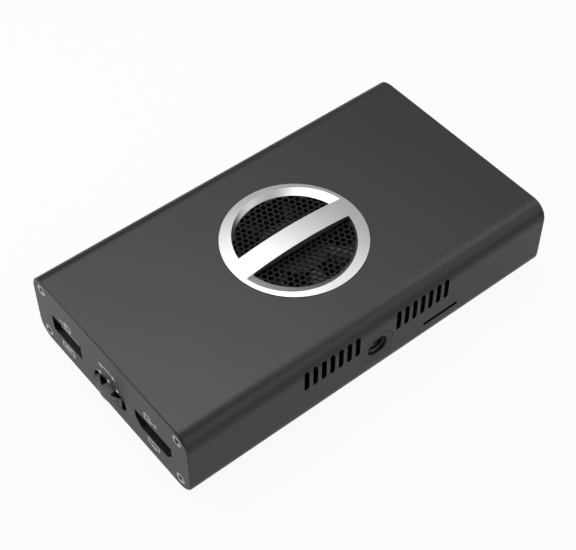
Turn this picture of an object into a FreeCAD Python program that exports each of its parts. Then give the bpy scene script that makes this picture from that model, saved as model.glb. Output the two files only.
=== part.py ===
import FreeCAD, Part

# Network video decoder: a small box with an extruded housing and two end panels, a fan behind a
# round grille, and a rocking lever switch between the sockets of its front panel.
# Millimetres, +Z up. The origin is the middle of the underside, and the front panel faces -X.

import math
import os

# Housing
body_length = 117.6
body_width = 66.6
body_height = 23.2
body_corner = 5.0
wall = 1.8
panel_thickness = 2.5
panel_edge_bevel = 0.35

# Clearances: flush fits, pieces dropped into seats, and pieces that stand free of each other
slip_gap = 0.05
fit_gap = 0.15
loose_gap = 0.3
# How far a cutting shape runs past the face it cuts
cut_over = 1.0

# Screws of the end panels, and the bosses that take them
screw_from_side = 4.25
screw_from_face = 3.55
screw_head_radius = 1.7
screw_head_depth = 0.8
screw_shank_radius = 1.0
screw_length = 9.0
screw_hole_radius = 1.15
screw_hole_spare = 1.0
boss_width = 4.4
boss_length = 14.0

# Board and the rails that hold it
board_top = 6.85
board_thickness = 1.2
rail_thickness = 1.2
rail_reach = 1.6

# Round grille: trim ring with a bar across, over a disc of honeycomb. The ring's inner side slopes
# from the bore, above a narrow land, up to the scoop's circle, which is shifted along the bar
ring_outer_radius = 19.5
ring_inner_radius = 15.8
ring_seat_depth = 1.2
ring_edge_rise = 0.1
ring_land = 0.15
scoop_radius = 17.35
scoop_shift = 1.42
scoop_height = 1.05
dome_radius = 110.0
cross_bar_width = 6.2
cross_bar_lift = 0.3
mesh_radius = 17.5
mesh_thickness = 0.45
mesh_ledge = 0.9
cell_pitch = 1.8
cell_web = 0.42

# Air vents in the long sides
vent_width = 1.55
vent_height = 6.76
vent_pitch = 2.72
vent_centre_z = 16.5
vents_per_group = 7
vent_first_x = 6.8

# Tripod bush in the long side
bush_z = 11.6
bush_radius = 5.1
bush_depth = 7.0
thread_radius = 3.175
thread_depth = 6.0
bush_wall = 1.9

# Card slot in the long side, and the card socket behind it
card_slot_x = 21.95
card_slot_width = 12.1
card_slot_height = 1.17
card_slot_z = 7.52
card_socket_width = 14.4
card_socket_length = 14.8
card_socket_height = 1.45
card_tray_height = 0.8
card_back_wall = 1.5

# Host socket in the front panel
host_from_side = 14.2
host_z = 10.4
host_inner_width = 12.5
host_inner_height = 5.17
host_hole_corner = 0.6
host_shell_corner = 0.5
host_depth = 13.0
host_back_thickness = 2.5
host_tongue_width = 10.4
host_tongue_height = 1.85
host_tongue_drop = 1.55
host_tongue_setback = 1.5
host_contact_places = (-3.5, -1.0, 1.0, 3.5)
host_contact_width = 1.0
host_contact_length = 8.0
host_contact_thickness = 0.15
host_contact_setback = 0.8

# Video socket in the front panel
video_from_side = 14.7
video_z = 9.9
video_hole_width = 15.1
video_hole_height = 5.57
video_foot_width = 10.9
video_shoulder = 2.4
video_shell_gap = 0.2
video_depth = 11.0
video_tongue_width = 10.6
video_tongue_height = 1.2
video_tongue_setback = 1.5
video_back_thickness = 2.0
video_corner = 0.4

# Folded sheet, setback and feet that both front sockets share
sheet = 0.25
socket_setback = 1.0
foot_length = 2.0
foot_width = 1.2
foot_inset = 1.0

# Lever switch between the sockets
lever_y = 0.3
lever_z = 7.85
lever_reach = 2.2
lever_pad_radius = 8.5
lever_pad_thickness = 0.9
lever_pad_height = 2.3
lever_pad_span = 81.0
lever_stem_width = 3.4
lever_stem_height = 1.1
lever_hub_radius = 1.7
lever_ridge_pitch = 6.0
lever_ridge_radius = 0.16
lever_ridges = 12
lever_travel = 0.5
lever_swing = 12.0
pin_radius = 0.6
pin_clearance = 0.03
window_z = 7.75
window_width = 14.0
window_height = 5.4
window_lip = 0.6
window_relief_height = 4.2
window_relief_corner = 0.8
dish_width = 18.8
dish_height = 7.2
dish_depth = 0.12
switch_width = 10.4
switch_height = 3.7
switch_wall = 0.45
carriage_width = 5.5
carriage_wall = 1.2

# Status lights over the lever
light_spacing = 3.75
light_z = 11.6
light_radius = 0.55
light_pipe_back = 11.5
light_source_height = 0.8
light_source_length = 1.6
light_source_width = 1.0
light_bar_wall = 0.4
light_bar_length = 3.0
light_bar_gap = 1.0

# Network socket and power socket in the rear panel
network_from_side = 18.8
network_width = 16.2
network_height = 13.4
network_length = 15.6
network_hole_gap = 0.2
network_hole_corner = 0.4
plug_width = 11.9
plug_height = 6.9
plug_floor = 2.9
plug_depth = 12.6
latch_width = 6.3
latch_drop = 1.5
network_pins = 8
network_pin_pitch = 1.02
network_pin_width = 0.45
network_pin_thickness = 0.4
network_pin_drop = 1.7
network_pin_mouth = 3.0
network_pin_root = 0.5
network_pin_foot = 1.6
network_light_width = 2.9
network_light_height = 1.9
network_light_inset = 0.6
network_light_depth = 1.5
power_from_side = 17.8
power_width = 9.0
power_height = 3.2
power_length = 7.4
power_tongue_width = 6.7
power_tongue_height = 0.7
power_tongue_length = 5.4

# Fan over the heat sink
fan_size = 40.0
fan_corner = 3.0
fan_height = 7.0
fan_bore_radius = 19.0
fan_hole_pitch = 32.0
fan_screw_radius = 1.2
fan_screw_head_radius = 2.1
fan_screw_head_height = 1.0
fan_base = 1.2
fan_cup_radius = 9.3
fan_strut_width = 2.2
fan_struts = 4
strut_bite = 0.5
hub_radius = 9.0
hub_wall = 0.9
hub_drop = 0.4
hub_height = 4.9
blade_count = 7
blade_tip_gap = 0.7
blade_thickness = 0.8
blade_root_pitch = 46.0
blade_tip_pitch = 30.0
blade_height = 4.6
blade_bow = 0.9
blade_edge = 0.32
blade_root_bite = 0.2
shaft_radius = 0.75
shaft_clearance = 0.02
shaft_grip = 0.6
bearing_radius = 1.9
bearing_floor = 0.3
magnet_thickness = 0.8
coil_radius = 6.6
coil_arm_width = 2.4
coil_height = 2.8
coil_collar = 1.2
gasket_width = 0.8
gasket_height = 0.8

# Heat sink and what it sits on
chip_size = 27.0
chip_height = 1.6
pad_height = 0.5
pad_inset = 1.0
sink_size = 40.0
sink_base = 1.8
sink_fin_thickness = 1.0
sink_fin_count = 9
sink_fin_height = 2.4
sink_fin_clear = 1.0
sink_bite = 0.2
sink_post_size = 6.4
sink_pin_radius = 1.5
sink_pin_head_radius = 2.4
sink_pin_head_height = 1.2
sink_pin_below = 1.0
sink_pin_x = 16.5

# Fan lead and its plug
lead_thickness = 1.0
lead_width = 3.6
lead_bend = 4.2
lead_run = 1.4
lead_y = -8.0
plug_block_width = 4.8
plug_block_length = 3.2
header_height = 1.2
plug_block_height = 1.7
header_rim = 0.6

# Smaller pieces on the board
memory_length = 12.5
memory_width = 8.0
memory_height = 1.1
memory_places = (-9.0, 9.0)
memory_gap = 2.0
transformer_length = 12.7
transformer_width = 9.4
transformer_height = 4.0
transformer_gap = 0.8
coil_block_size = 6.6
coil_block_height = 3.0
coil_block_corner = 0.8
coil_block_gap = 2.0
coil_block_clear = 8.0
coil_block_from_side = 19.3
capacitor_radius = 2.5
capacitor_height = 5.4
capacitor_gap = 1.2
capacitor_clear = 4.5
capacitor_from_side = 9.8
crystal_length = 5.0
crystal_width = 3.2
crystal_height = 1.0
crystal_corner = 0.6
crystal_gap = 1.5
crystal_y = -3.0

# Places worked out from the sizes above
half_length = body_length / 2
half_width = body_width / 2
half_height = body_height / 2
sleeve_end = half_length - panel_thickness
board_bottom = board_top - board_thickness
board_half_width = half_width - wall - loose_gap
board_end = sleeve_end - loose_gap
ring_seat_z = body_height - ring_seat_depth
mesh_top = ring_seat_z + mesh_thickness
dome_top = body_height + ring_edge_rise + ring_outer_radius ** 2 / (2 * dome_radius)
dome_centre_z = dome_top - dome_radius
top_hole_radius = mesh_radius - mesh_ledge
chip_top = board_top + chip_height
sink_bottom = chip_top + pad_height
sink_top = sink_bottom + sink_base
ceiling = body_height - wall
fan_top = ceiling - gasket_height
fan_bottom = fan_top - fan_height
cup_top = fan_bottom + fan_base
hub_top = fan_top - hub_drop
hub_bottom = hub_top - hub_height
shaft_bottom = fan_bottom + fan_base / 2
shaft_top = hub_top - hub_wall + shaft_grip
motor_top = hub_top - hub_wall - loose_gap
lever_pivot_x = -half_length - lever_reach + lever_pad_radius
lever_bottom = lever_z - lever_pad_height / 2
stem_top = lever_z + lever_pad_height / 2 - slip_gap
stem_bottom = stem_top - lever_stem_height
switch_front = -sleeve_end + 2 * loose_gap
switch_top = board_top + switch_height
carriage_back = lever_pivot_x + lever_hub_radius + carriage_wall
switch_back = carriage_back + lever_travel + slip_gap + switch_wall
lever_side_reach = lever_pad_radius * math.sin(math.radians(lever_pad_span / 2 + lever_swing))
window_relief_width = 2 * (lever_side_reach + 2 * loose_gap)
socket_front = -half_length + socket_setback
host_hole_width = host_inner_width + 2 * (sheet + slip_gap)
host_hole_height = host_inner_height + 2 * (sheet + slip_gap)
network_front = half_length - fit_gap
host_y = half_width - host_from_side
video_y = video_from_side - half_width
network_y = network_from_side - half_width
power_y = half_width - power_from_side
network_z = board_top + network_height / 2
power_z = board_top + power_height / 2
header_top = board_top + header_height
lead_plug_x = fan_size / 2 + lead_run + lead_bend

PLANES = {
    "X": (FreeCAD.Vector(0, 1, 0), FreeCAD.Vector(0, 0, 1), FreeCAD.Vector(1, 0, 0)),
    "Y": (FreeCAD.Vector(1, 0, 0), FreeCAD.Vector(0, 0, 1), FreeCAD.Vector(0, 1, 0)),
    "Z": (FreeCAD.Vector(1, 0, 0), FreeCAD.Vector(0, 1, 0), FreeCAD.Vector(0, 0, 1)),
}


def point(x, y, z):
    return FreeCAD.Vector(x, y, z)


def block(x0, x1, y0, y1, z0, z1):
    """Straight block between two limits on each axis."""
    return Part.makeBox(x1 - x0, y1 - y0, z1 - z0, point(x0, y0, z0))


def rod(radius, start, end):
    """Round rod from one point to another."""
    return Part.makeCylinder(radius, (end - start).Length, start, end - start)


def upright(radius, x, y, z0, z1):
    """Round rod along Z."""
    return rod(radius, point(x, y, z0), point(x, y, z1))


def outline(corners, radius, normal, level):
    """Closed wire through corners (u, v), each rounded, on the plane normal = level."""
    along, up, out = PLANES[normal]
    pts = [along * u + up * v + out * level for u, v in corners]
    edges = []
    last = None
    first = None
    for i, corner in enumerate(pts):
        before = (pts[i - 1] - corner).normalize()
        after = (pts[(i + 1) % len(pts)] - corner).normalize()
        half = before.getAngle(after) / 2
        middle = (before + after).normalize()
        start = corner + before * (radius / math.tan(half))
        end = corner + after * (radius / math.tan(half))
        centre = corner + middle * (radius / math.sin(half))
        if last is not None and (start - last).Length > 1e-6:
            edges.append(Part.makeLine(last, start))
        edges.append(Part.Arc(start, centre - middle * radius, end).toShape())
        first = start if first is None else first
        last = end
    if (first - last).Length > 1e-6:
        edges.append(Part.makeLine(last, first))
    return Part.Wire(edges)


def rounded_block(width, height, radius, centre, normal, start, end):
    """Prism of a rounded rectangle; centre is its place (u, v) on the plane across normal."""
    u, v = centre
    a, b = width / 2, height / 2
    corners = [(u + a, v + b), (u - a, v + b), (u - a, v - b), (u + a, v - b)]
    wire = outline(corners, radius, normal, start)
    return Part.Face(wire).extrude(PLANES[normal][2] * (end - start))


def slot_block(width, height, centre, normal, start, end):
    """Prism of a slot with round ends."""
    return rounded_block(width, height, min(width, height) / 2, centre, normal, start, end)


def slot_wire(width, height, centre, x):
    """Wire of a slot with round ends on a plane across X."""
    u, v = centre
    a, b = width / 2, height / 2
    return outline([(u + a, v + b), (u - a, v + b), (u - a, v - b), (u + a, v - b)], b, "X", x)


def joined(shapes):
    """One solid from pieces that meet."""
    shapes = list(shapes)
    return shapes[0].multiFuse(shapes[1:]).removeSplitter() if shapes[1:] else shapes[0]


def together(shapes):
    """Separate solids of one repeated piece, kept in one node."""
    return Part.makeCompound(list(shapes))


def panel_screw_places():
    """Places (y, z) of the four screws of an end panel."""
    return [(sy * (half_width - screw_from_side), half_height + sz * (half_height - screw_from_face))
            for sy in (-1, 1) for sz in (-1, 1)]


def screw_rod(y, z, radius, side, start, end):
    """Rod along X at one panel screw, measured inwards from the panel's outer face."""
    return rod(radius, point(side * (half_length - start), y, z), point(side * (half_length - end), y, z))


def screw_head(y, z, side, extra):
    """Flush countersunk head; extra widens it into its hole."""
    start = point(side * half_length, y, z)
    return Part.makeCone(screw_head_radius + extra, screw_shank_radius + extra, screw_head_depth,
                         start, point(-side, 0, 0))


def end_panel(side):
    """Flat panel with the housing's outline, a bevelled rim and four countersunk holes."""
    plate = rounded_block(body_width, body_height, body_corner, (0, half_height), "X",
                          side * sleeve_end, side * half_length)
    rim = [e for e in plate.Edges if abs(e.BoundBox.XMin - side * half_length) < 1e-6
           and abs(e.BoundBox.XMax - side * half_length) < 1e-6]
    plate = plate.makeChamfer(panel_edge_bevel, rim)
    for y, z in panel_screw_places():
        plate = plate.cut(screw_head(y, z, side, slip_gap))
        plate = plate.cut(screw_rod(y, z, screw_hole_radius, side, 0, panel_thickness))
    return plate


def panel_screws(side):
    def screw(y, z):
        shank = screw_rod(y, z, screw_shank_radius, side, screw_head_depth / 2, screw_length)
        return screw_head(y, z, side, 0).fuse(shank)
    return together(screw(y, z) for y, z in panel_screw_places())


def vent_group(side_y):
    """Two groups of slots that run up into the rounded edge of one long side."""
    y0, y1 = sorted((side_y * (half_width - 2 * wall), side_y * (half_width + wall)))
    places = [sx * (vent_first_x + i * vent_pitch) for sx in (-1, 1) for i in range(vents_per_group)]
    return [slot_block(vent_width, vent_height, (x, vent_centre_z), "Y", y0, y1) for x in places]


def rail(side_y, z0, z1):
    """Rail along a long side that holds the board's edge."""
    y0, y1 = sorted((side_y * (half_width - wall - rail_reach), side_y * (half_width - wall / 2)))
    return block(-sleeve_end, sleeve_end, y0, y1, z0, z1)


def screw_boss(side, y, z):
    """Boss in a corner of the housing that takes a panel screw."""
    x0, x1 = sorted((side * sleeve_end, side * (sleeve_end - boss_length)))
    sy = math.copysign(1, y)
    sz = math.copysign(1, z - half_height)
    ys = sorted((y - sy * boss_width / 2, sy * (half_width - wall / 2)))
    zs = sorted((z - sz * boss_width / 2, half_height + sz * (half_height - wall / 2)))
    return block(x0, x1, ys[0], ys[1], zs[0], zs[1])


def housing_sleeve():
    """Extruded housing with rails, screw bosses, vents, the grille's seat and the bush's boss."""
    outer = rounded_block(body_width, body_height, body_corner, (0, half_height), "X",
                          -sleeve_end, sleeve_end)
    inner = rounded_block(body_width - 2 * wall, body_height - 2 * wall, body_corner - wall,
                          (0, half_height), "X", -sleeve_end, sleeve_end)
    added = []
    for side_y in (-1, 1):
        added.append(rail(side_y, board_bottom - rail_thickness, board_bottom))
        added.append(rail(side_y, board_top + fit_gap, board_top + fit_gap + rail_thickness))
    for side in (-1, 1):
        added += [screw_boss(side, y, z) for y, z in panel_screw_places()]
    bush_boss = rod(bush_radius + bush_wall, point(0, -half_width + wall / 2, bush_z),
                    point(0, -half_width + bush_depth + bush_wall / 2, bush_z))
    added.append(bush_boss)
    sleeve = joined([outer.cut(inner)] + [piece.common(outer) for piece in added])
    cuts = []
    for y, z in panel_screw_places():
        for side in (-1, 1):
            cuts.append(screw_rod(y, z, screw_shank_radius, side, panel_thickness,
                                  screw_length + screw_hole_spare))
    cuts += vent_group(-1) + vent_group(1)
    cuts.append(upright(ring_outer_radius + fit_gap, 0, 0, ring_seat_z,
                        body_height + cut_over))
    cuts.append(upright(top_hole_radius, 0, 0, ceiling - cut_over, body_height + cut_over))
    cuts.append(rod(bush_radius, point(0, -half_width - cut_over, bush_z),
                    point(0, -half_width + bush_depth, bush_z)))
    cuts.append(slot_block(card_slot_width, card_slot_height, (card_slot_x, card_slot_z), "Y",
                           -half_width - cut_over, -half_width + 2 * wall))
    cuts.append(block(card_slot_x - card_socket_width / 2 - loose_gap,
                      card_slot_x + card_socket_width / 2 + loose_gap,
                      -half_width + wall, -half_width + wall + rail_reach + cut_over,
                      board_top, board_top + rail_thickness + cut_over))
    for cut in cuts:
        sleeve = sleeve.cut(cut)
    return sleeve


def front_panel():
    """Front panel: socket holes, the lever's window in its shallow dish, and the light holes."""
    plate = end_panel(-1)
    outside, inside = -half_length - cut_over, -sleeve_end
    cuts = [rounded_block(host_hole_width, host_hole_height, host_hole_corner, (host_y, host_z), "X",
                          outside, inside)]
    cuts.append(Part.Face(video_outline(0, outside)).extrude(point(inside - outside, 0, 0)))
    dish = Part.makeLoft([slot_wire(dish_width, dish_height, (lever_y, window_z), -half_length),
                          slot_wire(window_width, window_height, (lever_y, window_z),
                                    -half_length + dish_depth)], True, True)
    window = slot_block(window_width, window_height, (lever_y, window_z), "X", outside, inside)
    relief = rounded_block(window_relief_width, window_relief_height, window_relief_corner,
                           (lever_y, lever_z), "X", -half_length + window_lip, inside)
    cuts += [dish, window, relief]
    for y in light_places():
        cuts.append(rod(light_radius + slip_gap, point(outside, y, light_z),
                        point(inside, y, light_z)))
    for cut in cuts:
        plate = plate.cut(cut)
    return plate


def rear_panel():
    """Rear panel with the holes of the network and power sockets."""
    plate = end_panel(1)
    outside = half_length + cut_over
    plate = plate.cut(rounded_block(network_width + 2 * network_hole_gap,
                                    network_height + 2 * network_hole_gap, network_hole_corner,
                                    (network_y, network_z), "X", sleeve_end, outside))
    return plate.cut(slot_block(power_width + 2 * network_hole_gap,
                                power_height + 2 * network_hole_gap, (power_y, power_z), "X",
                                sleeve_end, outside))


def video_outline(inset, x):
    """Video socket's outline: wide above, with its lower corners cut off."""
    a = video_hole_width / 2 - inset
    b = video_hole_height / 2 - inset
    turn = math.atan2((video_hole_width - video_foot_width) / 2, video_shoulder)
    foot = video_foot_width / 2 - inset * math.tan((math.pi / 2 - turn) / 2)
    shoulder = video_shoulder - video_hole_height / 2 + inset * math.tan(turn / 2)
    corners = [(a, b), (-a, b), (-a, shoulder), (-foot, -b), (foot, -b), (a, shoulder)]
    return outline([(video_y + u, video_z + v) for u, v in corners], video_corner, "X", x)


def ring_scoop(side):
    """Sloping cut round one half of the opening. Its upper edge is a circle shifted along the bar,
    so the slope is wide at one end of the bar and runs out at the other."""
    bottom = mesh_top + ring_land
    grown = (dome_top + cut_over - bottom) / scoop_height
    low = Part.makeCircle(ring_inner_radius, point(0, 0, bottom))
    high = Part.makeCircle(ring_inner_radius + (scoop_radius - ring_inner_radius) * grown,
                           point(side * scoop_shift * grown, 0, bottom + scoop_height * grown))
    cone = Part.makeLoft([Part.Wire(low), Part.Wire(high)], True, True)
    edges = sorted((side * cross_bar_width / 2, side * 2 * ring_outer_radius))
    return cone.common(block(-2 * ring_outer_radius, 2 * ring_outer_radius, edges[0], edges[1],
                             ring_seat_z, dome_top + 2 * cut_over))


def trim_ring():
    """Domed ring with a bar across it, rebated underneath to hold the honeycomb disc."""
    ring = upright(ring_outer_radius, 0, 0, ring_seat_z, dome_top)
    ring = ring.cut(upright(ring_inner_radius, 0, 0, ring_seat_z, dome_top))
    ring = ring.cut(upright(mesh_radius + fit_gap, 0, 0, ring_seat_z, mesh_top))
    for side in (-1, 1):
        ring = ring.cut(ring_scoop(side))
    reach = (ring_inner_radius + ring_outer_radius) / 2
    bar = block(-reach, reach, -cross_bar_width / 2, cross_bar_width / 2,
                mesh_top + cross_bar_lift, dome_top)
    dome = Part.makeSphere(dome_radius, point(0, 0, dome_centre_z))
    return ring.fuse(bar).common(dome)


def grille_mesh():
    """Disc with honeycomb cells in the two parts that show, on both sides of the bar."""
    cell_radius = (cell_pitch - cell_web) / math.sqrt(3)
    row_step = cell_pitch * math.sqrt(3) / 2
    reach = mesh_radius - mesh_ledge - cell_radius
    holes = []
    rows = int(reach / row_step) + 1
    for row in range(-rows, rows + 1):
        shift = cell_pitch / 2 if row % 2 else 0
        for column in range(-rows - 1, rows + 2):
            x, y = column * cell_pitch + shift, row * row_step
            under_bar = abs(y) < cross_bar_width / 2 - cell_radius
            if under_bar or math.hypot(x, y) > reach:
                continue
            ring = [point(x + cell_radius * math.sin(math.radians(60 * k)),
                          y + cell_radius * math.cos(math.radians(60 * k)), ring_seat_z)
                    for k in range(7)]
            holes.append(Part.makePolygon(ring))
    rim = Part.Wire(Part.makeCircle(mesh_radius, point(0, 0, ring_seat_z)))
    return Part.Face([rim] + holes).extrude(point(0, 0, mesh_thickness))


def tripod_bush():
    """Flush bush with the tripod thread's bore."""
    face_y = -half_width
    bush = rod(bush_radius, point(0, face_y, bush_z), point(0, face_y + bush_depth, bush_z))
    return bush.cut(rod(thread_radius, point(0, face_y, bush_z),
                        point(0, face_y + thread_depth, bush_z)))


def main_board():
    """Circuit board that slides in the rails, notched round the bush and the screw bosses."""
    notch = bush_radius + bush_wall + loose_gap
    board = block(-board_end, board_end, -board_half_width, board_half_width,
                  board_bottom, board_top)
    board = board.cut(block(-notch, notch, -half_width,
                            -half_width + bush_depth + bush_wall + loose_gap,
                            board_bottom, board_top))
    for y, z in panel_screw_places():
        for side in (-1, 1):
            if z < half_height:
                board = board.cut(screw_boss(side, y, z))
    for x, y in sink_pin_places():
        board = board.cut(upright(sink_pin_radius + fit_gap, x, y, board_bottom, board_top))
    return board


def socket_feet(ys, back, top):
    """Four feet that stand a front socket's shell on the board."""
    half = foot_width / 2
    return [block(x, x + foot_length, y - half, y + half, board_top, top)
            for x in (foot_inset - board_end, back - foot_inset - foot_length) for y in ys]


def host_socket_shell():
    """Folded metal shell of the host socket on four feet."""
    back = socket_front + host_depth
    place = (host_y, host_z)
    shell = rounded_block(host_inner_width + 2 * sheet, host_inner_height + 2 * sheet,
                          host_shell_corner, place, "X", socket_front, back)
    shell = shell.cut(rounded_block(host_inner_width, host_inner_height, host_shell_corner - sheet,
                                    place, "X", socket_front, back))
    reach = host_inner_width / 2 - foot_width
    ys = (host_y - reach, host_y + reach)
    return joined([shell] + socket_feet(ys, back, host_z - (host_inner_height + sheet) / 2))


def host_socket_tongue():
    """Insulator of the host socket: a back block and the tongue that carries the contacts."""
    back = socket_front + host_depth
    tongue_z = host_z - host_tongue_drop
    body = rounded_block(host_inner_width - 2 * slip_gap, host_inner_height - 2 * slip_gap,
                         host_shell_corner - sheet, (host_y, host_z), "X",
                         back - host_back_thickness, back)
    tongue = block(-half_length + host_tongue_setback, back - host_back_thickness / 2,
                   host_y - host_tongue_width / 2, host_y + host_tongue_width / 2,
                   tongue_z - host_tongue_height / 2, tongue_z + host_tongue_height / 2)
    return joined([body, tongue])


def host_socket_contacts():
    """Four contact strips on top of the host socket's tongue."""
    top = host_z - host_tongue_drop + host_tongue_height / 2
    front = -half_length + host_tongue_setback + host_contact_setback
    half = host_contact_width / 2
    return together(block(front, front + host_contact_length, host_y + place - half,
                          host_y + place + half, top, top + host_contact_thickness)
                    for place in host_contact_places)


def video_socket_shell():
    """Folded metal shell of the video socket on four feet."""
    outer = Part.Face(video_outline(video_shell_gap, socket_front))
    inner = Part.Face(video_outline(video_shell_gap + sheet, socket_front))
    shell = outer.extrude(point(video_depth, 0, 0)).cut(inner.extrude(point(video_depth, 0, 0)))
    bottom = video_z - video_hole_height / 2 + video_shell_gap + sheet / 2
    ys = (video_y - video_foot_width / 4, video_y + video_foot_width / 4)
    return joined([shell] + socket_feet(ys, socket_front + video_depth, bottom))


def video_socket_tongue():
    """Insulator of the video socket, with its tongue."""
    back = socket_front + video_depth
    start = back - video_back_thickness
    face = Part.Face(video_outline(video_shell_gap + sheet + slip_gap, start))
    tongue = block(socket_front + video_tongue_setback, back - video_back_thickness / 2,
                   video_y - video_tongue_width / 2, video_y + video_tongue_width / 2,
                   video_z - video_tongue_height / 2, video_z + video_tongue_height / 2)
    return joined([face.extrude(point(video_back_thickness, 0, 0)), tongue])


def network_socket_body():
    """Shielded network socket with the plug's cavity and its latch channel."""
    front = network_front
    floor_z = board_top + plug_floor
    body = block(front - network_length, front, network_y - network_width / 2, network_y + network_width / 2,
                 board_top, board_top + network_height)
    cavity = block(front - plug_depth, front, network_y - plug_width / 2, network_y + plug_width / 2,
                   floor_z, floor_z + plug_height)
    latch = block(front - plug_depth, front, network_y - latch_width / 2,
                  network_y + latch_width / 2, floor_z - latch_drop, floor_z)
    body = body.cut(cavity).cut(latch)
    for y in network_light_places():
        body = body.cut(network_light(y))
    return body


def network_light_places():
    reach = (network_width - network_light_width) / 2 - network_light_inset
    return [network_y - reach, network_y + reach]


def network_light(y):
    """Light window in an upper corner of the network socket's face."""
    top = board_top + network_height - network_light_inset
    return block(network_front - network_light_depth, network_front, y - network_light_width / 2,
                 y + network_light_width / 2, top - network_light_height, top)


def network_socket_lights():
    return together(network_light(y) for y in network_light_places())


def network_socket_contacts():
    """Sprung wires that slope down from the roof of the network socket's cavity."""
    roof = board_top + plug_floor + plug_height
    x0 = network_front - plug_depth + network_pin_root
    x1 = network_front - network_pin_mouth
    low = roof - network_pin_drop
    wires = []
    for i in range(network_pins):
        y = network_y + (i - (network_pins - 1) / 2) * network_pin_pitch
        corners = [point(x1, y, roof), point(x1, y, roof - network_pin_thickness),
                   point(x0, y, low - network_pin_thickness), point(x0, y, low),
                   point(x1 - network_pin_foot, y, roof), point(x1, y, roof)]
        face = Part.Face(Part.makePolygon(corners))
        face.translate(point(0, -network_pin_width / 2, 0))
        wires.append(face.extrude(point(0, network_pin_width, 0)))
    return together(wires)


def power_socket_shell():
    """Seamless oval shell of the power socket."""
    centre = (power_y, power_z)
    x0, x1 = half_length - power_length, half_length
    shell = slot_block(power_width, power_height, centre, "X", x0, x1)
    return shell.cut(slot_block(power_width - 2 * sheet, power_height - 2 * sheet, centre, "X",
                                x0 + sheet, x1))


def power_socket_tongue():
    """Thin tongue in the middle of the power socket."""
    x0 = half_length - power_length + sheet
    return block(x0, x0 + power_tongue_length, power_y - power_tongue_width / 2,
                 power_y + power_tongue_width / 2, power_z - power_tongue_height / 2,
                 power_z + power_tongue_height / 2)


def card_socket():
    """Card socket on the board with a thin slot that faces the housing's slot."""
    x0, x1 = card_slot_x - card_socket_width / 2, card_slot_x + card_socket_width / 2
    y0 = -board_half_width
    shell = block(x0, x1, y0, y0 + card_socket_length, board_top, board_top + card_socket_height)
    slot_z = board_top + card_socket_height / 2 - card_tray_height / 2
    slot = block(card_slot_x - card_slot_width / 2 + fit_gap, card_slot_x + card_slot_width / 2
                 - fit_gap, y0, y0 + card_socket_length - card_back_wall, slot_z,
                 slot_z + card_tray_height)
    return shell.cut(slot)


def light_places():
    """Places in y of the three status lights."""
    return [lever_y + (i - 1) * light_spacing for i in range(3)]


def side_shape(corners, y, width):
    """Flat piece with its outline (x, z) seen from the side, as wide as width about y."""
    ring = [point(x, y - width / 2, z) for x, z in corners]
    return Part.Face(Part.makePolygon(ring + ring[:1])).extrude(point(0, width, 0))


def light_pipes():
    """One clear moulding: three pipes from the panel, a bar, and legs with a slant that turns
    the light down to the lamps."""
    back = -half_length + light_pipe_back
    foot = board_top + light_source_height + loose_gap
    r = light_radius
    half = r + light_bar_wall
    ys = light_places()
    bar_back = back - r - light_bar_gap
    bar_front = bar_back - light_bar_length
    bar = block(bar_front, bar_back, ys[0] - half, ys[-1] + half, light_z - half, light_z + half)
    leg = [(bar_front, light_z + r), (back - r, light_z + r), (back + r, light_z - r),
           (back + r, foot), (back - r, foot), (back - r, light_z - r), (bar_front, light_z - r)]
    pipes = [rod(r, point(-half_length, y, light_z), point(bar_front, y, light_z)) for y in ys]
    return joined([bar] + pipes + [side_shape(leg, y, 2 * r) for y in ys])


def light_sources():
    """Three small lamps on the board under the pipes."""
    x = -half_length + light_pipe_back
    a, b = light_source_length / 2, light_source_width / 2
    return together(block(x - a, x + a, y - b, y + b, board_top, board_top + light_source_height)
                    for y in light_places())


def lever_sector():
    """Wedge that bounds the lever's pad on both sides."""
    reach = lever_pad_radius * 2
    half = math.radians(lever_pad_span / 2)
    corners = [point(lever_pivot_x, lever_y, lever_bottom),
               point(lever_pivot_x - reach * math.cos(half), lever_y - reach * math.sin(half),
                     lever_bottom),
               point(lever_pivot_x - reach * math.cos(half), lever_y + reach * math.sin(half),
                     lever_bottom)]
    return Part.Face(Part.makePolygon(corners + corners[:1])).extrude(point(0, 0, lever_pad_height))


def switch_lever():
    """Anchor-shaped lever: a ridged arc for the fingertip, a stem, and an eye on the pivot pin."""
    top = lever_bottom + lever_pad_height
    pad = upright(lever_pad_radius, lever_pivot_x, lever_y, lever_bottom, top)
    pad = pad.cut(upright(lever_pad_radius - lever_pad_thickness, lever_pivot_x, lever_y,
                          lever_bottom, top)).common(lever_sector())
    stem = block(lever_pivot_x - lever_pad_radius + lever_pad_thickness / 2, lever_pivot_x,
                 lever_y - lever_stem_width / 2, lever_y + lever_stem_width / 2,
                 stem_bottom, stem_top)
    hub = upright(lever_hub_radius, lever_pivot_x, lever_y, stem_bottom, stem_top)
    lever = joined([pad, stem, hub])
    for i in range(lever_ridges):
        angle = math.radians((i - (lever_ridges - 1) / 2) * lever_ridge_pitch)
        lever = lever.cut(upright(lever_ridge_radius,
                                  lever_pivot_x - lever_pad_radius * math.cos(angle),
                                  lever_y + lever_pad_radius * math.sin(angle), lever_bottom, top))
    return lever.cut(upright(pin_radius + pin_clearance, lever_pivot_x, lever_y,
                             stem_bottom, stem_top))


def switch_carriage():
    """Carriage that slides in the switch when the lever is pressed, with the pivot pin."""
    floor_z = board_top + switch_wall + slip_gap
    roof_z = switch_top - switch_wall - slip_gap
    half = carriage_width / 2
    front = lever_pivot_x - lever_hub_radius
    body = block(front, carriage_back, lever_y - half, lever_y + half, floor_z, roof_z)
    room = block(front, lever_pivot_x + lever_hub_radius + loose_gap, lever_y - half,
                 lever_y + half, stem_bottom - slip_gap, stem_top + slip_gap)
    pin = upright(pin_radius, lever_pivot_x, lever_y, floor_z, roof_z)
    return joined([body.cut(room), pin])


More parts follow.
